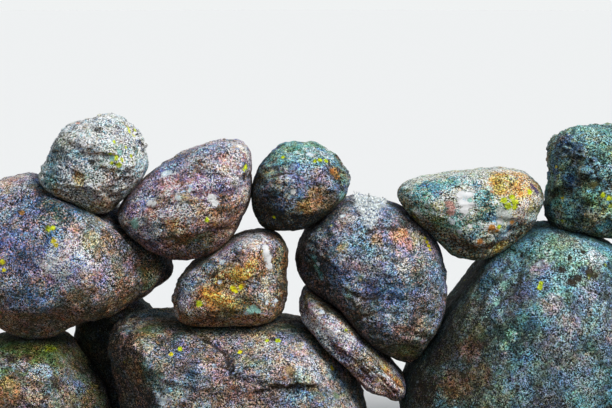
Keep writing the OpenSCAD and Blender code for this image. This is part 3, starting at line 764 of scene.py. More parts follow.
wedgeBlock = {
    "name": "wedgeBlock", "slot": "ochre_gneiss", "seed": 4, "tint": (1.26, 1.31, 1.18), "foliation": 20,
    "contrast": 19.0, "tones": ("greyBrown", "purpleGrey", "brown"), "accents": ("orange", "slate"),
    "top": "pinkGrey", "under": "brown",
    "pulls": [(284, 230, 20, 5, -4), (284, 312, 18, 3, 3)],
    # The darkOlive on right-facing faces and the darkOlive zones on the right face are painted shade
    "sides": [((1, 0.2, 0.0), "darkOlive", 0.45, 0.75, 0.9)],
    "zones": [
        ("slate", 200, 266, 20, 0.85), ("purple", 228, 250, 16, 0.85), ("navy", 214, 262, 6, 0.6),
        ("blueGrey", 186, 288, 14, 0.85), ("lilac", 184, 300, 10, 0.6), ("blueGrey", 236, 246, 7, 0.6),
        ("blush", 252, 244, 9, 0.8), ("lilac", 240, 262, 8, 0.6), ("pinkGrey", 236, 262, 10, 0.6),
        ("rust", 236, 278, 14, 0.7), ("orange", 238, 277, 11, 0.7), ("rust", 214, 302, 14, 0.6),
        ("orange", 214, 302, 12, 0.6), ("orange", 252, 265, 8, 0.7), ("brown", 226, 288, 10, 0.6),
        ("rust", 222, 280, 7, 0.7), ("ochre", 226, 306, 10, 0.6), ("sand", 265, 284, 6, 0.9),
        ("sand", 268, 296, 6, 0.7), ("purpleGrey", 254, 286, 8, 0.7), ("brown", 254, 298, 10, 0.7),
        ("olive", 240, 308, 10, 0.6), ("darkOlive", 282, 262, 12, 0.95), ("darkOlive", 284, 290, 12, 0.9),
        ("greyBrown", 196, 312, 12, 0.7), ("brown", 220, 318, 14, 0.7), ("umber", 212, 288, 5, 0.7),
        ("moss", 184, 272, 5, 0.7), ("brown", 250, 322, 16, 0.6),
    ],
    "lichens": {
        "white": [(266, 240, 2.4), (266, 247, 3.0), (267, 253, 3.6), (269, 259, 4.0), (270, 266, 3.4)],
        "yellow": [(233, 288, 2.2), (236, 291, 1.8), (241, 287, 1.8)], "yellowGreen": [(199, 304, 2.6)],
        "mint": [(250, 312, 3.2), (254, 308, 2.8), (258, 311, 2.2)],
        "frost": [(246, 314, 2.0), (267, 302, 2.2), (276, 301, 2.0), (220, 282, 1.9), (222, 262, 2.2)],
    },
    "furrows": [
        ([(247, 281), (254, 277), (264, 283)], 2.2, 0.007), ([(262, 236), (270, 256), (276, 284)], 5, -0.005),
        ([(184, 280), (196, 274), (208, 276), (216, 270)], 1.8, 0.004),
    ],
    "ledges": [
        ([(220, 284), (238, 279), (262, 285)], 2.0, 12, 0.005),
        ([(178, 305), (200, 312), (226, 312)], 2.0, 12, 0.004),
    ],
}
roundCap = {
    "name": "roundCapStone", "slot": "teal_gneiss", "seed": 5, "tint": (0.46, 0.59, 0.56),
    "tones": ("purpleGrey", "slate", "darkGrey"), "accents": ("ochre", "navy"), "light": "white", "top": "mint",
    "topShare": 0.75, "under": "black",
    "pulls": [(285, 142, 20, 0, -2), (281, 236, 26, 1, -5)],
    # The black on left-facing faces, the darkOlive zone on the left and the black and umber zones underneath are
    # painted shade
    "sides": [((-1, 0.1, -0.3), "black", 0.4, 0.8, 0.9)],
    "zones": [
        ("mint", 282, 150, 16, 0.9), ("mint", 305, 149, 20, 0.95), ("frost", 324, 153, 14, 0.95),
        ("white", 312, 150, 9, 0.7), ("teal", 338, 162, 9, 0.8), ("frost", 294, 156, 7, 0.8),
        ("white", 310, 154, 14, 0.7), ("lilac", 292, 182, 14, 0.8), ("navy", 277, 148, 5, 0.8),
        ("deepTeal", 270, 156, 8, 0.8), ("navy", 300, 143, 4, 0.6), ("lilac", 300, 176, 14, 0.8),
        ("lilac", 322, 178, 12, 0.7), ("pinkGrey", 315, 190, 12, 0.6), ("blueGrey", 286, 190, 8, 0.7),
        ("plum", 290, 174, 5, 0.6), ("orange", 335, 174, 6, 0.8), ("ochre", 318, 198, 11, 0.9),
        ("ochre", 306, 208, 9, 0.9), ("brown", 330, 204, 10, 0.8), ("darkOlive", 259, 182, 12, 0.95),
        ("teal", 268, 178, 4, 0.7), ("black", 268, 208, 12, 0.9), ("black", 290, 222, 14, 0.95),
        ("umber", 312, 218, 10, 0.8), ("steel", 282, 204, 7, 0.6), ("greyGreen", 346, 178, 8, 0.8),
        ("moss", 343, 196, 6, 0.5),
    ],
    "lichens": {
        "yellowGreen": [(315, 161, 1.7), (320, 160, 2.0), (326, 161, 2.0), (283, 157, 1.5), (274, 217, 1.6)],
        "rust": [(332, 171, 2.4)], "white": [(293, 192, 2.0)], "frost": [(310, 154, 3.0), (327, 150, 2.4)],
    },
    "furrows": [
        ([(270, 176), (286, 172), (304, 176)], 2.0, 0.003), ([(296, 166), (299, 182), (297, 196)], 1.6, 0.004),
        ([(282, 168), (284, 184), (281, 198)], 1.6, 0.004),
    ],
    "ledges": [([(275, 198), (292, 200), (320, 196), (338, 190)], 2.0, 16, 0.005)],
}
heart = {
    "name": "heartBoulder", "slot": "purple_gneiss", "seed": 6, "tint": (0.72, 0.87, 0.84), "foliation": 25,
    "warmth": 1.9, "tones": ("slate", "purpleGrey", "blueGrey"), "accents": ("pink", "navy"), "top": "pinkGrey",
    "damp": "black",
    "pulls": [(316, 312, 40, 5, -4)],
    # The black on left-facing faces and the black zone at the lower left are painted shade; the olive on faces turned
    # down and right is partly stain, partly painted shade
    "sides": [((-1, 0.2, -0.3), "black", 0.32, 0.62, 0.92), ((1, 0.2, -0.5), "olive", 0.6, 0.9, 0.5)],
    "zones": [
        ("steel", 328, 222, 14, 0.7), ("blush", 345, 218, 9, 0.6), ("pinkGrey", 340, 232, 10, 0.6),
        ("navy", 332, 244, 8, 0.6), ("ochre", 343, 248, 6, 0.7), ("rust", 398, 236, 9, 0.6),
        ("orange", 404, 232, 6, 0.45), ("rust", 410, 246, 6, 0.4), ("umber", 392, 228, 5, 0.6),
        ("ochre", 378, 240, 6, 0.6), ("sand", 418, 238, 7, 0.6), ("teal", 313, 258, 4.5, 0.95),
        ("teal", 317, 268, 4.5, 0.95), ("teal", 321, 276, 4, 0.9), ("black", 301, 262, 11, 0.95),
        ("lilac", 352, 262, 12, 0.6), ("steel", 338, 276, 12, 0.7), ("lilac", 378, 270, 14, 0.7),
        ("lilac", 402, 268, 12, 0.6), ("steel", 390, 288, 14, 0.7), ("plum", 366, 292, 12, 0.5),
        ("greyBrown", 424, 270, 12, 0.6), ("pinkGrey", 432, 292, 10, 0.6), ("greyBrown", 416, 304, 12, 0.6),
        ("blueGrey", 394, 320, 12, 0.9), ("frost", 390, 318, 5, 0.6), ("purpleGrey", 372, 322, 10, 0.6),
        ("brown", 360, 308, 10, 0.5), ("brown", 404, 336, 10, 0.7), ("olive", 405, 352, 16, 0.9),
        ("darkOlive", 388, 350, 9, 0.8), ("blush", 408, 212, 9, 0.7), ("greyBrown", 425, 326, 12, 0.7),
        ("steel", 350, 228, 6, 0.5),
    ],
    "lichens": {
        "yellow": [(425, 238, 1.4), (427, 242, 1.5), (429, 246, 1.5), (430, 250, 1.3)],
        "frost": [(318, 264, 1.8), (343, 216, 2.4)],
    },
    "furrows": [
        ([(352, 322), (380, 312), (410, 314), (428, 308)], 1.8, 0.003),
        ([(376, 352), (396, 346), (418, 348)], 1.8, 0.003), ([(344, 292), (364, 300), (384, 298)], 2.0, 0.004),
        ([(366, 232), (380, 226), (398, 230)], 3.0, 0.004),
    ],
    "ledges": [([(318, 256), (336, 268), (352, 288)], 2.0, 12, 0.004)],
}
leaningSlab = {
    "name": "leaningSlab", "slot": "purple_gneiss", "seed": 7, "tint": (1.61, 1.59, 1.55), "foliation": 42,
    "streak": 7.0, "tones": ("purpleGrey", "greyBrown", "blueGrey"), "accents": ("ochre", "plum"), "top": "greyGreen",
    "under": "umber", "seams": 0,
    "pulls": [(330, 310, 44, 2, -6), (306, 296, 16, 2, -2), (362, 384, 34, -2, 5), (405, 388, 16, 3, 0)],
    "zones": [
        ("olive", 312, 296, 10, 0.9), ("darkOlive", 306, 306, 7, 0.9), ("brown", 326, 306, 9, 0.7),
        ("steel", 345, 320, 9, 0.6), ("lilac", 333, 326, 10, 0.8), ("lilac", 350, 342, 10, 0.7),
        ("steel", 340, 340, 6, 0.6), ("purple", 362, 344, 7, 0.6), ("sand", 372, 350, 8, 0.8),
        ("brown", 366, 366, 10, 0.85), ("ochre", 386, 366, 10, 0.9), ("umber", 360, 374, 6, 0.8),
        ("ochre", 398, 384, 9, 0.85), ("brown", 380, 384, 10, 0.85), ("umber", 392, 396, 8, 0.8),
        ("greyGreen", 365, 335, 6, 0.5),
    ],
    "lichens": {
        "yellowGreen": [(378, 356, 1.5), (346, 330, 1.3)], "frost": [(322, 312, 2.2)], "rust": [(352, 334, 1.6)],
    },
    "furrows": [
        ([(350, 352), (364, 362), (382, 378), (397, 394)], 2.0, 0.01),
        ([(366, 350), (380, 362), (394, 376), (402, 386)], 1.7, 0.007),
        ([(356, 346), (372, 358), (386, 372)], 1.4, 0.004), ([(340, 352), (358, 366), (376, 386)], 1.6, 0.006),
    ],
    "ledges": [([(352, 356), (370, 370), (390, 392)], 1.5, 8, 0.006)],
}
flatCap = {
    "name": "flatToppedCapStone", "slot": "ochre_gneiss", "seed": 8, "tint": (1.36, 1.81, 1.6),
    "tones": ("paleGrey", "greyGreen", "grey"), "accents": ("rust", "slate"), "light": "white", "top": "cream",
    "topShare": 0.35, "under": "umber",
    "shape": {"lumps": 0.008, "planes": -0.007, "pits": 0.004},
    "pulls": [(470, 170, 60, 0, 2.5)],
    # The darkOlive on left-facing faces, the umber on faces turned down, the umber zones along the bottom and the
    # darkOlive zones at the left end are painted shade
    "sides": [((-1, 0.1, -0.2), "darkOlive", 0.5, 0.8, 0.9), ((0, 0, -1), "umber", 0.2, 0.6, 0.95)],
    "zones": [
        ("teal", 430, 188, 20, 0.95), ("deepTeal", 420, 192, 10, 0.8), ("teal", 452, 182, 12, 0.9),
        ("mint", 440, 180, 7, 0.7), ("navy", 424, 185, 5, 0.95), ("navy", 436, 193, 5, 0.9),
        ("navy", 452, 186, 4.5, 0.9), ("darkOlive", 403, 194, 8, 0.9), ("greyGreen", 428, 208, 10, 0.7),
        ("sand", 438, 206, 5, 0.7), ("olive", 440, 222, 9, 0.7), ("greyGreen", 460, 226, 12, 0.8),
        ("deepTeal", 484, 196, 11, 0.95), ("deepTeal", 486, 212, 9, 0.95), ("navy", 476, 186, 5, 0.8),
        ("black", 488, 216, 4, 0.6), ("cream", 480, 172, 10, 0.9), ("cream", 505, 170, 8, 0.8),
        ("peach", 516, 180, 26, 0.9), ("orange", 503, 181, 12, 0.7), ("peach", 518, 183, 12, 0.9),
        ("sand", 526, 200, 14, 0.8), ("ochre", 510, 178, 5, 0.9), ("orange", 498, 191, 6, 0.8),
        ("peach", 524, 196, 12, 0.9), ("pink", 526, 206, 8, 0.8), ("pink", 521, 216, 7, 0.8),
        ("sand", 530, 180, 5, 0.7), ("brown", 542, 196, 5, 0.9), ("olive", 537, 212, 6, 0.7),
        ("grey", 500, 222, 10, 0.6), ("lilac", 503, 236, 7, 0.7), ("slate", 474, 238, 9, 0.7),
        ("rust", 492, 229, 5, 0.7), ("pink", 479, 244, 5, 0.8), ("ochre", 500, 247, 7, 0.9),
        ("umber", 460, 250, 12, 0.9), ("umber", 440, 236, 9, 0.8), ("umber", 485, 257, 8, 0.9),
        ("umber", 466, 258, 20, 0.8), ("darkOlive", 404, 196, 10, 0.9),
    ],
    "lichens": {
        "white": [
            (461, 195, 4.0), (468, 195, 4.2), (463, 202, 4.2), (469, 204, 4.0), (465, 210, 3.6), (505, 214, 2.6),
            (500, 221, 2.6), (470, 226, 2.0),
        ],
        "frost": [(464, 198, 2.6), (452, 222, 2.4), (460, 232, 2.2)], "mint": [(470, 200, 2.0)],
        "yellowGreen": [
            (504, 200, 3.0), (508, 206, 3.0), (515, 202, 3.0), (512, 197, 2.6), (515, 207, 2.2), (530, 192, 2.4),
            (499, 227, 1.8),
        ],
        "paleGrey": [(501, 212, 3.6), (507, 217, 3.6), (511, 222, 3.0)],
        "pink": [(449, 204, 3.4), (451, 212, 3.4), (453, 208, 2.4)], "plum": [(533, 186, 3.6), (536, 191, 3.0)],
        "orange": [(480, 242, 2.6), (492, 228, 2.6), (497, 231, 1.8), (512, 222, 2.0)],
    },
    "furrows": [([(492, 230), (497, 240), (503, 246)], 1.6, 0.003)],
}
squareCap = {
    "name": "squareCapStone", "slot": "teal_gneiss", "seed": 9, "tint": (0.87, 1.15, 1.08), "foliation": 15,
    "contrast": 26.0, "tones": ("slate", "greyGreen", "grey"), "accents": ("olive", "navy"), "dark": "black",
    "light": "paleGrey", "top": "greyGreen", "under": "black",
    "shape": {"pits": 0.01, "bands": 0.01, "planes": -0.014},
    "pulls": [(590, 122, 34, 0, 4), (552, 145, 22, -2.5, 0), (553, 218, 22, -4, 5)],
    "zones": [
        ("navy", 555, 172, 10, 0.8), ("darkTeal", 552, 150, 12, 0.8), ("deepTeal", 552, 205, 14, 0.85),
        ("navy", 566, 140, 8, 0.6), ("steel", 568, 178, 10, 0.6), ("olive", 596, 205, 14, 0.7),
        ("greyBrown", 588, 222, 12, 0.6), ("brown", 560, 214, 8, 0.6), ("teal", 604, 226, 8, 0.6),
        ("moss", 600, 150, 12, 0.5), ("black", 556, 194, 5, 0.7), ("olive", 578, 158, 8, 0.5),
        ("greyBrown", 592, 136, 10, 0.5), ("black", 580, 212, 6, 0.6),
    ],
    "lichens": {
        "yellowGreen": [(603, 195, 2.0), (609, 198, 2.2), (611, 206, 2.0)],
        "yellow": [(563, 198, 1.6), (556, 167, 1.4)], "olive": [(594, 185, 3.0)],
    },
    "furrows": [
        ([(549, 196), (560, 193), (568, 190)], 2.4, 0.006), ([(590, 160), (596, 172), (600, 184)], 1.8, 0.004),
    ],
    "ledges": [([(550, 190), (566, 186), (586, 176)], 2.5, 14, 0.008)],
    "knobs": [(566, 180, 7, 0.007), (606, 162, 6, 0.006), (590, 145, 7, 0.006), (579, 206, 9, 0.006)],
}
greatRight = {
    "name": "greatRightBoulder", "slot": "teal_gneiss", "seed": 10, "voxel": 0.0055, "tint": (0.76, 0.79, 0.75),
    "foliation": -50, "streak": 5.0, "contrast": 28.0, "warmth": 1.7, "tones": ("slate", "teal", "blueGrey"),
    "accents": ("greyGreen", "plum"), "dark": "black", "light": "blueGrey", "top": "teal", "damp": "darkTeal",
    "shape": {"lumps": 0.006, "planes": -0.006, "bands": 0.006},
    # The darkOlive and black on left-facing faces and the black, darkTeal, darkOlive and umber zones on the left flank
    # are painted shade
    "sides": [((-1, 0.1, 0.0), "darkOlive", 0.35, 0.75, 0.9), ((-1, 0.3, 0.0), "black", 0.6, 0.9, 0.85)],
    "zones": [
        ("grey", 585, 330, 44, 0.5), ("deepTeal", 520, 330, 26, 0.3), ("olive", 490, 390, 26, 0.6),
        ("darkOlive", 462, 360, 50, 0.85), ("mint", 566, 252, 30, 0.55), ("teal", 530, 240, 18, 0.85),
        ("greyGreen", 562, 240, 16, 0.7), ("mint", 545, 250, 10, 0.8), ("deepTeal", 505, 238, 10, 0.9),
        ("frost", 596, 256, 10, 0.6), ("teal", 590, 240, 14, 0.7), ("deepTeal", 500, 256, 8, 0.7),
        ("lilac", 540, 268, 9, 0.8), ("blueGrey", 548, 284, 9, 0.6), ("lilac", 552, 302, 10, 0.6),
        ("steel", 524, 290, 10, 0.7), ("black", 470, 272, 12, 0.95), ("darkTeal", 484, 256, 9, 0.95),
        ("deepTeal", 486, 282, 9, 0.85), ("black", 456, 296, 10, 0.95), ("darkOlive", 470, 310, 14, 0.9),
        ("darkOlive", 456, 340, 16, 0.9), ("brown", 470, 350, 12, 0.7), ("umber", 436, 350, 14, 0.9),
        ("umber", 426, 392, 16, 0.95), ("brown", 455, 385, 16, 0.85), ("olive", 478, 332, 9, 0.7),
        ("brown", 480, 375, 10, 0.6), ("mint", 503, 286, 4.5, 0.9), ("mint", 497, 300, 4.5, 0.9),
        ("mint", 500, 312, 3.5, 0.7), ("mint", 512, 335, 5, 0.8), ("mint", 505, 346, 5, 0.8),
        ("teal", 522, 318, 7, 0.7), ("grey", 560, 350, 22, 0.6), ("slate", 530, 375, 16, 0.6),
        ("lilac", 572, 322, 9, 0.5), ("blueGrey", 596, 300, 14, 0.5), ("teal", 585, 345, 10, 0.5),
        ("grey", 590, 380, 16, 0.5),
    ],
    "lichens": {
        "yellowGreen": [(541, 283, 2.0), (540, 287, 2.2)],
        # Umber spots in the black pits: painted shade
        "umber": [
            (562, 270, 3.0), (572, 282, 4.0), (578, 278, 3.2), (590, 273, 4.0), (595, 276, 2.4), (583, 252, 2.4),
            (570, 258, 1.8),
        ],
        "frost": [(540, 264, 2.6)], "mint": [(504, 284, 2.6), (497, 304, 2.4)],
    },
    "furrows": [
        ([(472, 300), (462, 330), (456, 368)], 9, -0.004),
        ([(512, 262), (492, 292), (478, 330), (470, 375)], 8, -0.003),
    ],
    "ledges": [([(516, 250), (534, 256), (552, 266), (580, 268), (610, 262)], 2.5, 18, 0.004)],
}
baseSlab = {
    "name": "baseSlab", "slot": "pink_gneiss", "seed": 11, "voxel": 0.0055, "tint": (0.61, 0.65, 0.57),
    "foliation": 10, "streak": 4.0, "tones": ("pinkGrey", "grey", "slate"), "accents": ("blush", "steel"),
    "top": "moss", "under": "brown", "damp": "darkTeal",
    "shape": {"lumps": 0.01, "planes": -0.008},
    "pulls": [(128, 336, 44, -14, -13)],
    # The black on left-facing faces and the umber and black zones at the left end are painted shade
    "sides": [((-1, 0.2, 0.1), "black", 0.12, 0.42, 0.95)],
    "zones": [
        ("deepTeal", 156, 313, 16, 0.9), ("moss", 152, 330, 14, 0.7), ("olive", 170, 324, 14, 0.5),
        ("steel", 172, 352, 16, 0.6), ("lilac", 220, 350, 16, 0.4), ("sand", 208, 334, 9, 0.6),
        ("blush", 290, 352, 20, 0.6), ("blush", 262, 345, 12, 0.5), ("steel", 285, 340, 12, 0.5),
        ("navy", 228, 362, 5, 0.8), ("blush", 320, 372, 18, 0.6), ("frost", 298, 397, 8, 0.7),
        ("slate", 318, 398, 12, 0.5), ("brown", 312, 388, 6, 0.8), ("brown", 270, 392, 8, 0.6),
        ("darkTeal", 250, 327, 12, 0.7), ("deepTeal", 300, 330, 12, 0.7), ("brown", 132, 372, 14, 0.8),
        ("umber", 126, 345, 10, 0.9), ("black", 117, 368, 18, 0.95), ("black", 124, 394, 20, 0.95),
        ("greyGreen", 150, 372, 14, 0.5), ("navy", 216, 346, 4, 0.8), ("lilac", 300, 362, 16, 0.6),
        ("moss", 186, 326, 12, 0.5),
    ],
    "lichens": {
        "yellow": [(171, 354, 1.8), (240, 352, 1.8), (332, 368, 2.2)],
        "yellowGreen": [(180, 349, 2.0), (278, 341, 2.2), (267, 341, 1.7)], "sand": [(290, 370, 3.6)],
        "frost": [(163, 401, 3.6), (158, 396, 2.4), (214, 367, 2.4)], "greyGreen": [(336, 396, 3.4)],
    },
    "furrows": [
        ([(202, 336), (212, 343), (223, 349), (229, 358), (230, 374)], 2.2, 0.012),
        ([(256, 394), (278, 388), (296, 389), (316, 386)], 2.4, 0.01),
        ([(290, 372), (296, 380), (297, 388)], 2.0, 0.006), ([(214, 364), (222, 365), (228, 366)], 1.6, 0.007),
    ],
    "ledges": [
        ([(230, 376), (228, 358), (220, 348), (204, 338)], 1.6, 26, 0.008),
        ([(256, 392), (280, 387), (316, 385)], 2.0, 18, 0.006),
    ],
}
mossy = {
    "name": "mossyBoulder", "slot": "mossy_gneiss", "seed": 12, "voxel": 0.006, "tint": (0.55, 0.59, 0.64),
    "foliation": 30, "contrast": 28.0, "tones": ("greyBrown", "olive", "grey"), "accents": ("pinkGrey", "moss"),
    "light": "pinkGrey", "top": "moss", "topShare": 0.8,
    "pulls": [(92, 356, 30, -8, 3)],
    "zones": [
        ("moss", 45, 350, 24, 0.8), ("moss", 20, 345, 20, 0.7), ("ochre", 8, 392, 14, 0.6),
        ("darkOlive", 85, 372, 18, 0.8), ("greyBrown", 50, 392, 18, 0.5), ("paleGrey", 42, 372, 11, 0.7),
        ("paleGrey", 20, 366, 8, 0.6), ("sand", 34, 396, 8, 0.6), ("umber", 12, 360, 6, 0.8),
        ("umber", 26, 358, 5, 0.8), ("umber", 58, 384, 6, 0.7), ("darkTeal", 98, 372, 14, 0.9),
        ("yellowGreen", 50, 348, 6, 0.5),
    ],
    "furrows": [([(2, 352), (14, 360), (28, 372)], 1.8, 0.006), ([(48, 376), (60, 388), (66, 402)], 1.8, 0.005)],
}
# A stone set back behind the base slab; its near-black tones and black underside paint the deep shade it sits in
dark = {
    "name": "darkBoulder", "slot": "dark_gneiss", "seed": 13, "voxel": 0.007, "contrast": 8.0,
    "tones": ("darkGrey", "darkOlive", "black"), "accents": ("slate", "brown"), "light": "slate", "top": "deepTeal",
    "under": "black",
    "pulls": [(150, 305, 26, -12, 0)],
}
# The stones past the photograph's edges, in the same kinds of rock: name, slot, tones, accents and top
others = [
    ("leftBaseBoulder", "pink_gneiss", ("greyBrown", "pinkGrey", "slate"), ("rust", "steel"), "moss"),
    ("leftEndBaseBoulder", "teal_gneiss", ("slate", "teal", "grey"), ("mint", "navy"), "mint"),
    ("rightBaseBoulder", "pink_gneiss", ("pinkGrey", "greyBrown", "purpleGrey"), ("white", "plum"), "paleGrey"),
    ("rightEndBaseBoulder", "mossy_gneiss", ("grey", "olive", "greyBrown"), ("pinkGrey", "moss"), "moss"),
    ("leftMiddleBoulder", "ochre_gneiss", ("greyBrown", "ochre", "slate"), ("rust", "steel"), "pinkGrey"),
    ("leftEndMiddleBoulder", "purple_gneiss", ("purpleGrey", "slate", "greyBrown"), ("pink", "navy"), "pinkGrey"),
    ("rightMiddleBoulder", "purple_gneiss", ("slate", "greyBrown", "purpleGrey"), ("ochre", "navy"), "mint"),
    ("rightEndMiddleBoulder", "ochre_gneiss", ("ochre", "greyBrown", "pinkGrey"), ("rust", "slate"), "sand"),
    ("leftCapStone", "teal_gneiss", ("slate", "mint", "grey"), ("rust", "navy"), "mint"),
    ("leftOvalCapStone", "pink_gneiss", ("pinkGrey", "purpleGrey", "greyBrown"), ("rust", "plum"), "blueGrey"),
    ("leftEndCapStone", "pale_granite", ("paleGrey", "blueGrey", "grey"), ("brown", "navy"), "white"),
    ("rightCapStone", "pink_gneiss", ("pinkGrey", "ochre", "greyBrown"), ("rust", "plum"), "cream"),
    ("rightOvalCapStone", "teal_gneiss", ("teal", "slate", "grey"), ("ochre", "navy"), "frost"),
    ("rightEndCapStone", "pale_granite", ("paleGrey", "grey", "blueGrey"), ("brown", "navy"), "white"),
]
# Patches that each kind of rock may carry
patches = {
    "pink_gneiss": ("lilac", "rust", "steel", "brown", "blush"),
    "teal_gneiss": ("mint", "deepTeal", "navy", "lilac", "olive"),
    "mossy_gneiss": ("moss", "pinkGrey", "olive", "brown"),
    "ochre_gneiss": ("orange", "slate", "purple", "brown", "sand"),
    "purple_gneiss": ("lilac", "steel", "rust", "blush", "brown"),
    "pale_granite": ("white", "greyGreen", "brown", "blueGrey"),
}
guess = {
    "firstSeed": 20, "voxel": 0.0075,
    "foliation": (-60, 15),             # of the first stone, and the step to the next, in degrees
    "patchSpread": 0.8, "spread": 0.7,  # shares of the stone that patches, and the rest, lie in
    "patchReach": (0.15, 0.30), "patchShare": (0.5, 0.8),
    "lichenTones": ("yellowGreen", "yellow", "white", "frost", "mint"), "lichenCounts": (0, 1, 2),
    "lichenReach": (1.4, 3.4),
    "furrows": 2, "furrowBend": 6, "furrowWidth": (1.8, 2.6), "furrowDepth": (0.003, 0.006),
}


# Patches, lichens and furrows for a stone that the photograph doesn't show
def imagined(node, slot, seed):
    pick = random.Random(seed)
    low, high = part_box(node)
    middle = [(low[i] + high[i]) / 2 for i in range(3)]
    column = photo["zeroColumn"] + middle[0] / photo["pixel"]
    row = photo["zeroRow"] - middle[2] / photo["pixel"]
    halfWide, halfTall = (high[0] - low[0]) / 2 / photo["pixel"], (high[2] - low[2]) / 2 / photo["pixel"]

    def somewhere(share):
        turn, out = pick.uniform(0, 2 * math.pi), share * math.sqrt(pick.random())
        return column + out * halfWide * math.cos(turn), row + out * halfTall * math.sin(turn)

    zones, lichens, furrows = [], {}, []
    for tone in patches[slot] * 2:
        zones.append((tone, *somewhere(guess["patchSpread"]), pick.uniform(*guess["patchReach"]) * halfWide,
                      pick.uniform(*guess["patchShare"])))
    for tone in guess["lichenTones"]:
        count = pick.choice(guess["lichenCounts"])
        if count:
            lichens[tone] = [(*somewhere(guess["spread"]), pick.uniform(*guess["lichenReach"]))
                             for spot in range(count)]
    for line in range(guess["furrows"]):
        start, end = somewhere(guess["spread"]), somewhere(guess["spread"])
        drop = pick.uniform(-guess["furrowBend"], guess["furrowBend"])
        bend = ((start[0] + end[0]) / 2, (start[1] + end[1]) / 2 + drop)
        furrows.append(([start, bend, end], pick.uniform(*guess["furrowWidth"]),
                        pick.uniform(*guess["furrowDepth"])))
    return {"zones": zones, "lichens": lichens, "furrows": furrows}


looks = [paleCap, longLeft, tiltedCap, wedgeBlock, roundCap, heart, leaningSlab, flatCap, squareCap, greatRight,
         baseSlab, mossy, dark]
for number, (name, slot, stoneTones, accents, top) in enumerate(others):
    seed = guess["firstSeed"] + number
    first, step = guess["foliation"]
    looks.append({"name": name, "slot": slot, "seed": seed, "tones": stoneTones, "accents": accents, "top": top,
                  "voxel": guess["voxel"], "foliation": first + step * number, **imagined(nodeOf(name), slot, seed)})
for look in looks:
    dressStone({**plainStone, **look})
print("stones dressed")

# The frosty lichen on top of the heart-shaped boulder, as burrs that sit close together
frost = {
    "middle": 369.5,
    "widths": [(190, 15), (203, 17), (208, 12), (215, 9), (222, 6), (228, 2)],   # row, half its width in pixels
    "ragged": (0.75, 1.05),             # times that half
    "ridgeRow": 203, "ridgeHalf": 15,   # pixels
    "ridgeDepth": (-0.02, 0.05),
    "burrs": 310, "ridgeBurrs": 110, "kinds": 5, "sizes": (0.7, 1.2),
    "radius": 0.0026, "core": 0.7, "spikes": 9, "spikeLength": (2.0, 4.0),
    "seed": 41,
    "cells": 300.0, "cellShare": 0.5,   # to the metre, and how far they shift the tones along a spike
    "pale": (0.10, 0.24), "white": (0.24, 0.42), "lilac": (0.75, 0.80, 0.0, 0.40), "lift": 1.25, "roughness": 0.95,
}


def addBurr(pick):
    bpy.ops.mesh.primitive_ico_sphere_add(subdivisions=2, radius=frost["radius"])
    burr = bpy.context.object
    points = pointsOf(burr)
    reach = np.full(len(points), frost["core"])
    for index in pick.sample(range(len(points)), frost["spikes"]):
        reach[index] = pick.uniform(*frost["spikeLength"])
    burr.data.vertices.foreach_set("co", (points * reach[:, None]).ravel())
    keepAttribute(burr, "tip", reach / frost["spikeLength"][1])
    return burr


def frostMaterial():
    t = Tree(bpy.data.materials.new("frostedLichen"))
    own = t.parted(t.cells(t.add("TexCoord").outputs["Object"], frost["cells"]))
    tip = t.summed((t.measured("tip"), 0.0, 1.0), (own[0], 0.5, frost["cellShare"]))
    # Navy at the burrs' cores, frost and white towards the spike tips: partly the lichen's own tone, partly painted
    # shade in the gaps between the burrs
    colour = t.laid(t.laid("navy", "frost", tip, *frost["pale"]), "white", tip, *frost["white"])
    colour = t.laid(t.scaled(colour, frost["lift"]), "lilac", own[1], *frost["lilac"])
    shader = t.nodes["Principled BSDF"]
    t.feed(shader.inputs["Base Color"], colour)
    t.feed(shader.inputs["Roughness"], frost["roughness"])
    return t.owner


# Places for the burrs: all over the tuft as the photograph shows it, then along the stone's ridge from above
def burrSeats(stone, pick):
    rows, halves = zip(*frost["widths"])
    seats = []
    while len(seats) < frost["burrs"]:
        row = pick.uniform(rows[0], rows[-1])
        half = float(np.interp(row, rows, halves))
        column = frost["middle"] + pick.uniform(-max(halves), max(halves))
        inside = abs(column - frost["middle"]) < half * pick.uniform(*frost["ragged"])
        where = landing(stone, column, row) if inside else None
        if where is not None:
            seats.append(where)
    ridge = landing(stone, frost["middle"], frost["ridgeRow"])
    for spot in range(frost["ridgeBurrs"]):
        x = ridge[0] + pick.uniform(-frost["ridgeHalf"], frost["ridgeHalf"]) * photo["pixel"]
        y = ridge[1] + pick.uniform(*frost["ridgeDepth"])
        hit, where, normal, face = stone.ray_cast(Vector((x, y, 1.0)), Vector((0, 0, -1)))
        if hit:
            seats.append(where)
    return seats


def addFrost(stone):
    pick = random.Random(frost["seed"])
    bpy.ops.object.select_all(action="DESELECT")
    kinds = [addBurr(pick) for kind in range(frost["kinds"])]
    burrs = []
    for where in burrSeats(stone, pick):
        burr = bpy.data.objects.new("burr", pick.choice(kinds).data.copy())
        scene.collection.objects.link(burr)
        burr.location = where
        burr.rotation_euler = [pick.uniform(0, 2 * math.pi) for axis in range(3)]
        burr.scale = [pick.uniform(*frost["sizes"])] * 3
        burrs.append(burr)
    for kind in kinds:
        bpy.data.objects.remove(kind)
    bpy.ops.object.select_all(action="DESELECT")
    for burr in burrs:
        burr.select_set(True)
    bpy.context.view_layer.objects.active = burrs[0]
    bpy.ops.object.join()
    bpy.ops.object.transform_apply(location=True, rotation=True, scale=True)
    tuft = bpy.context.object
    tuft.name = "frostedLichen"
    tuft.data.materials.append(frostMaterial())
    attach(tuft, "root")
    print("lichen grown:", len(tuft.data.polygons), "faces")


addFrost(bpy.data.objects["heartBoulder"])

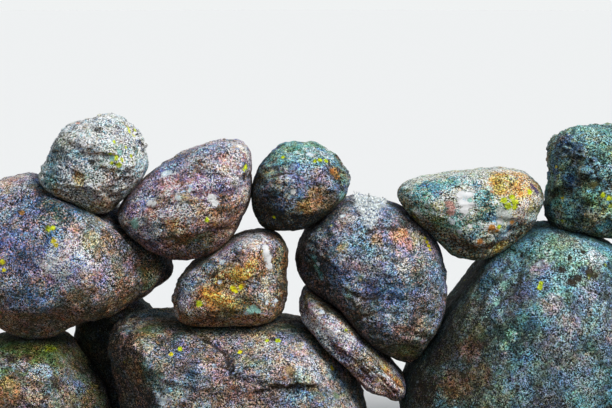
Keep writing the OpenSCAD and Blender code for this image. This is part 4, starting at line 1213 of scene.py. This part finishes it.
studio = {
    "floorTone": (0.82, 0.82, 0.81), "floorBounce": (0.14, 0.13, 0.11), "floorRadius": 60.0, "floorSides": 96,
    "lampPower": 3.0, "lampPlace": (0.0, -2.0, 3.0), "lampDown": 47.0, "lampAside": 54.0, "lampSoftness": 30.0,
    "skyHorizon": 0.20, "skyZenith": 0.56, "skyTone": (0.90, 0.95, 1.0),
    "farTone": (0.87, 0.89, 0.89),
}


# Pale where the camera sees it, dull in the light that it throws on the wall
def addFloor():
    bpy.ops.mesh.primitive_circle_add(vertices=studio["floorSides"], radius=studio["floorRadius"], fill_type="NGON")
    floor = bpy.context.object
    floor.name = "studioFloor"
    t = Tree(bpy.data.materials.new("floorPaper"))
    t.nodes.remove(t.nodes["Principled BSDF"])
    pale, dull = (t.add("BsdfDiffuse", Color=(*studio[key], 1)).outputs[0] for key in ("floorTone", "floorBounce"))
    both = t.add("MixShader", i0=t.seen(), i1=dull, i2=pale)
    t.feed(t.nodes["Material Output"].inputs[0], both.outputs[0])
    floor.data.materials.append(t.owner)


def addLamp():
    bpy.ops.object.light_add(type="SUN", location=studio["lampPlace"])
    lamp = bpy.context.object
    lamp.name = "softLamp"
    lamp.data.energy = studio["lampPower"]
    lamp.data.angle = math.radians(studio["lampSoftness"])
    lamp.rotation_euler = (math.radians(studio["lampDown"]), 0, math.radians(studio["lampAside"]))


# A sky that brightens upwards, and one plain tone where the camera sees it
def addSky():
    scene.world = bpy.data.worlds.new("studioWorld")
    t = Tree(scene.world)
    height = t.add("SeparateXYZ", i0=t.add("TexCoord").outputs["Generated"]).outputs[2]
    sky = t.nodes["Background"]
    t.feed(sky.inputs[0], (*studio["skyTone"], 1))
    t.feed(sky.inputs[1], t.add("MapRange", i0=height, i3=studio["skyHorizon"], i4=studio["skyZenith"]).outputs[0])
    plain = t.add("Background", i0=(*studio["farTone"], 1)).outputs[0]
    both = t.add("MixShader", i0=t.seen(), i1=sky.outputs[0], i2=plain)
    t.feed(t.nodes["World Output"].inputs[0], both.outputs[0])


addFloor()
addLamp()
addSky()
print("studio ready")
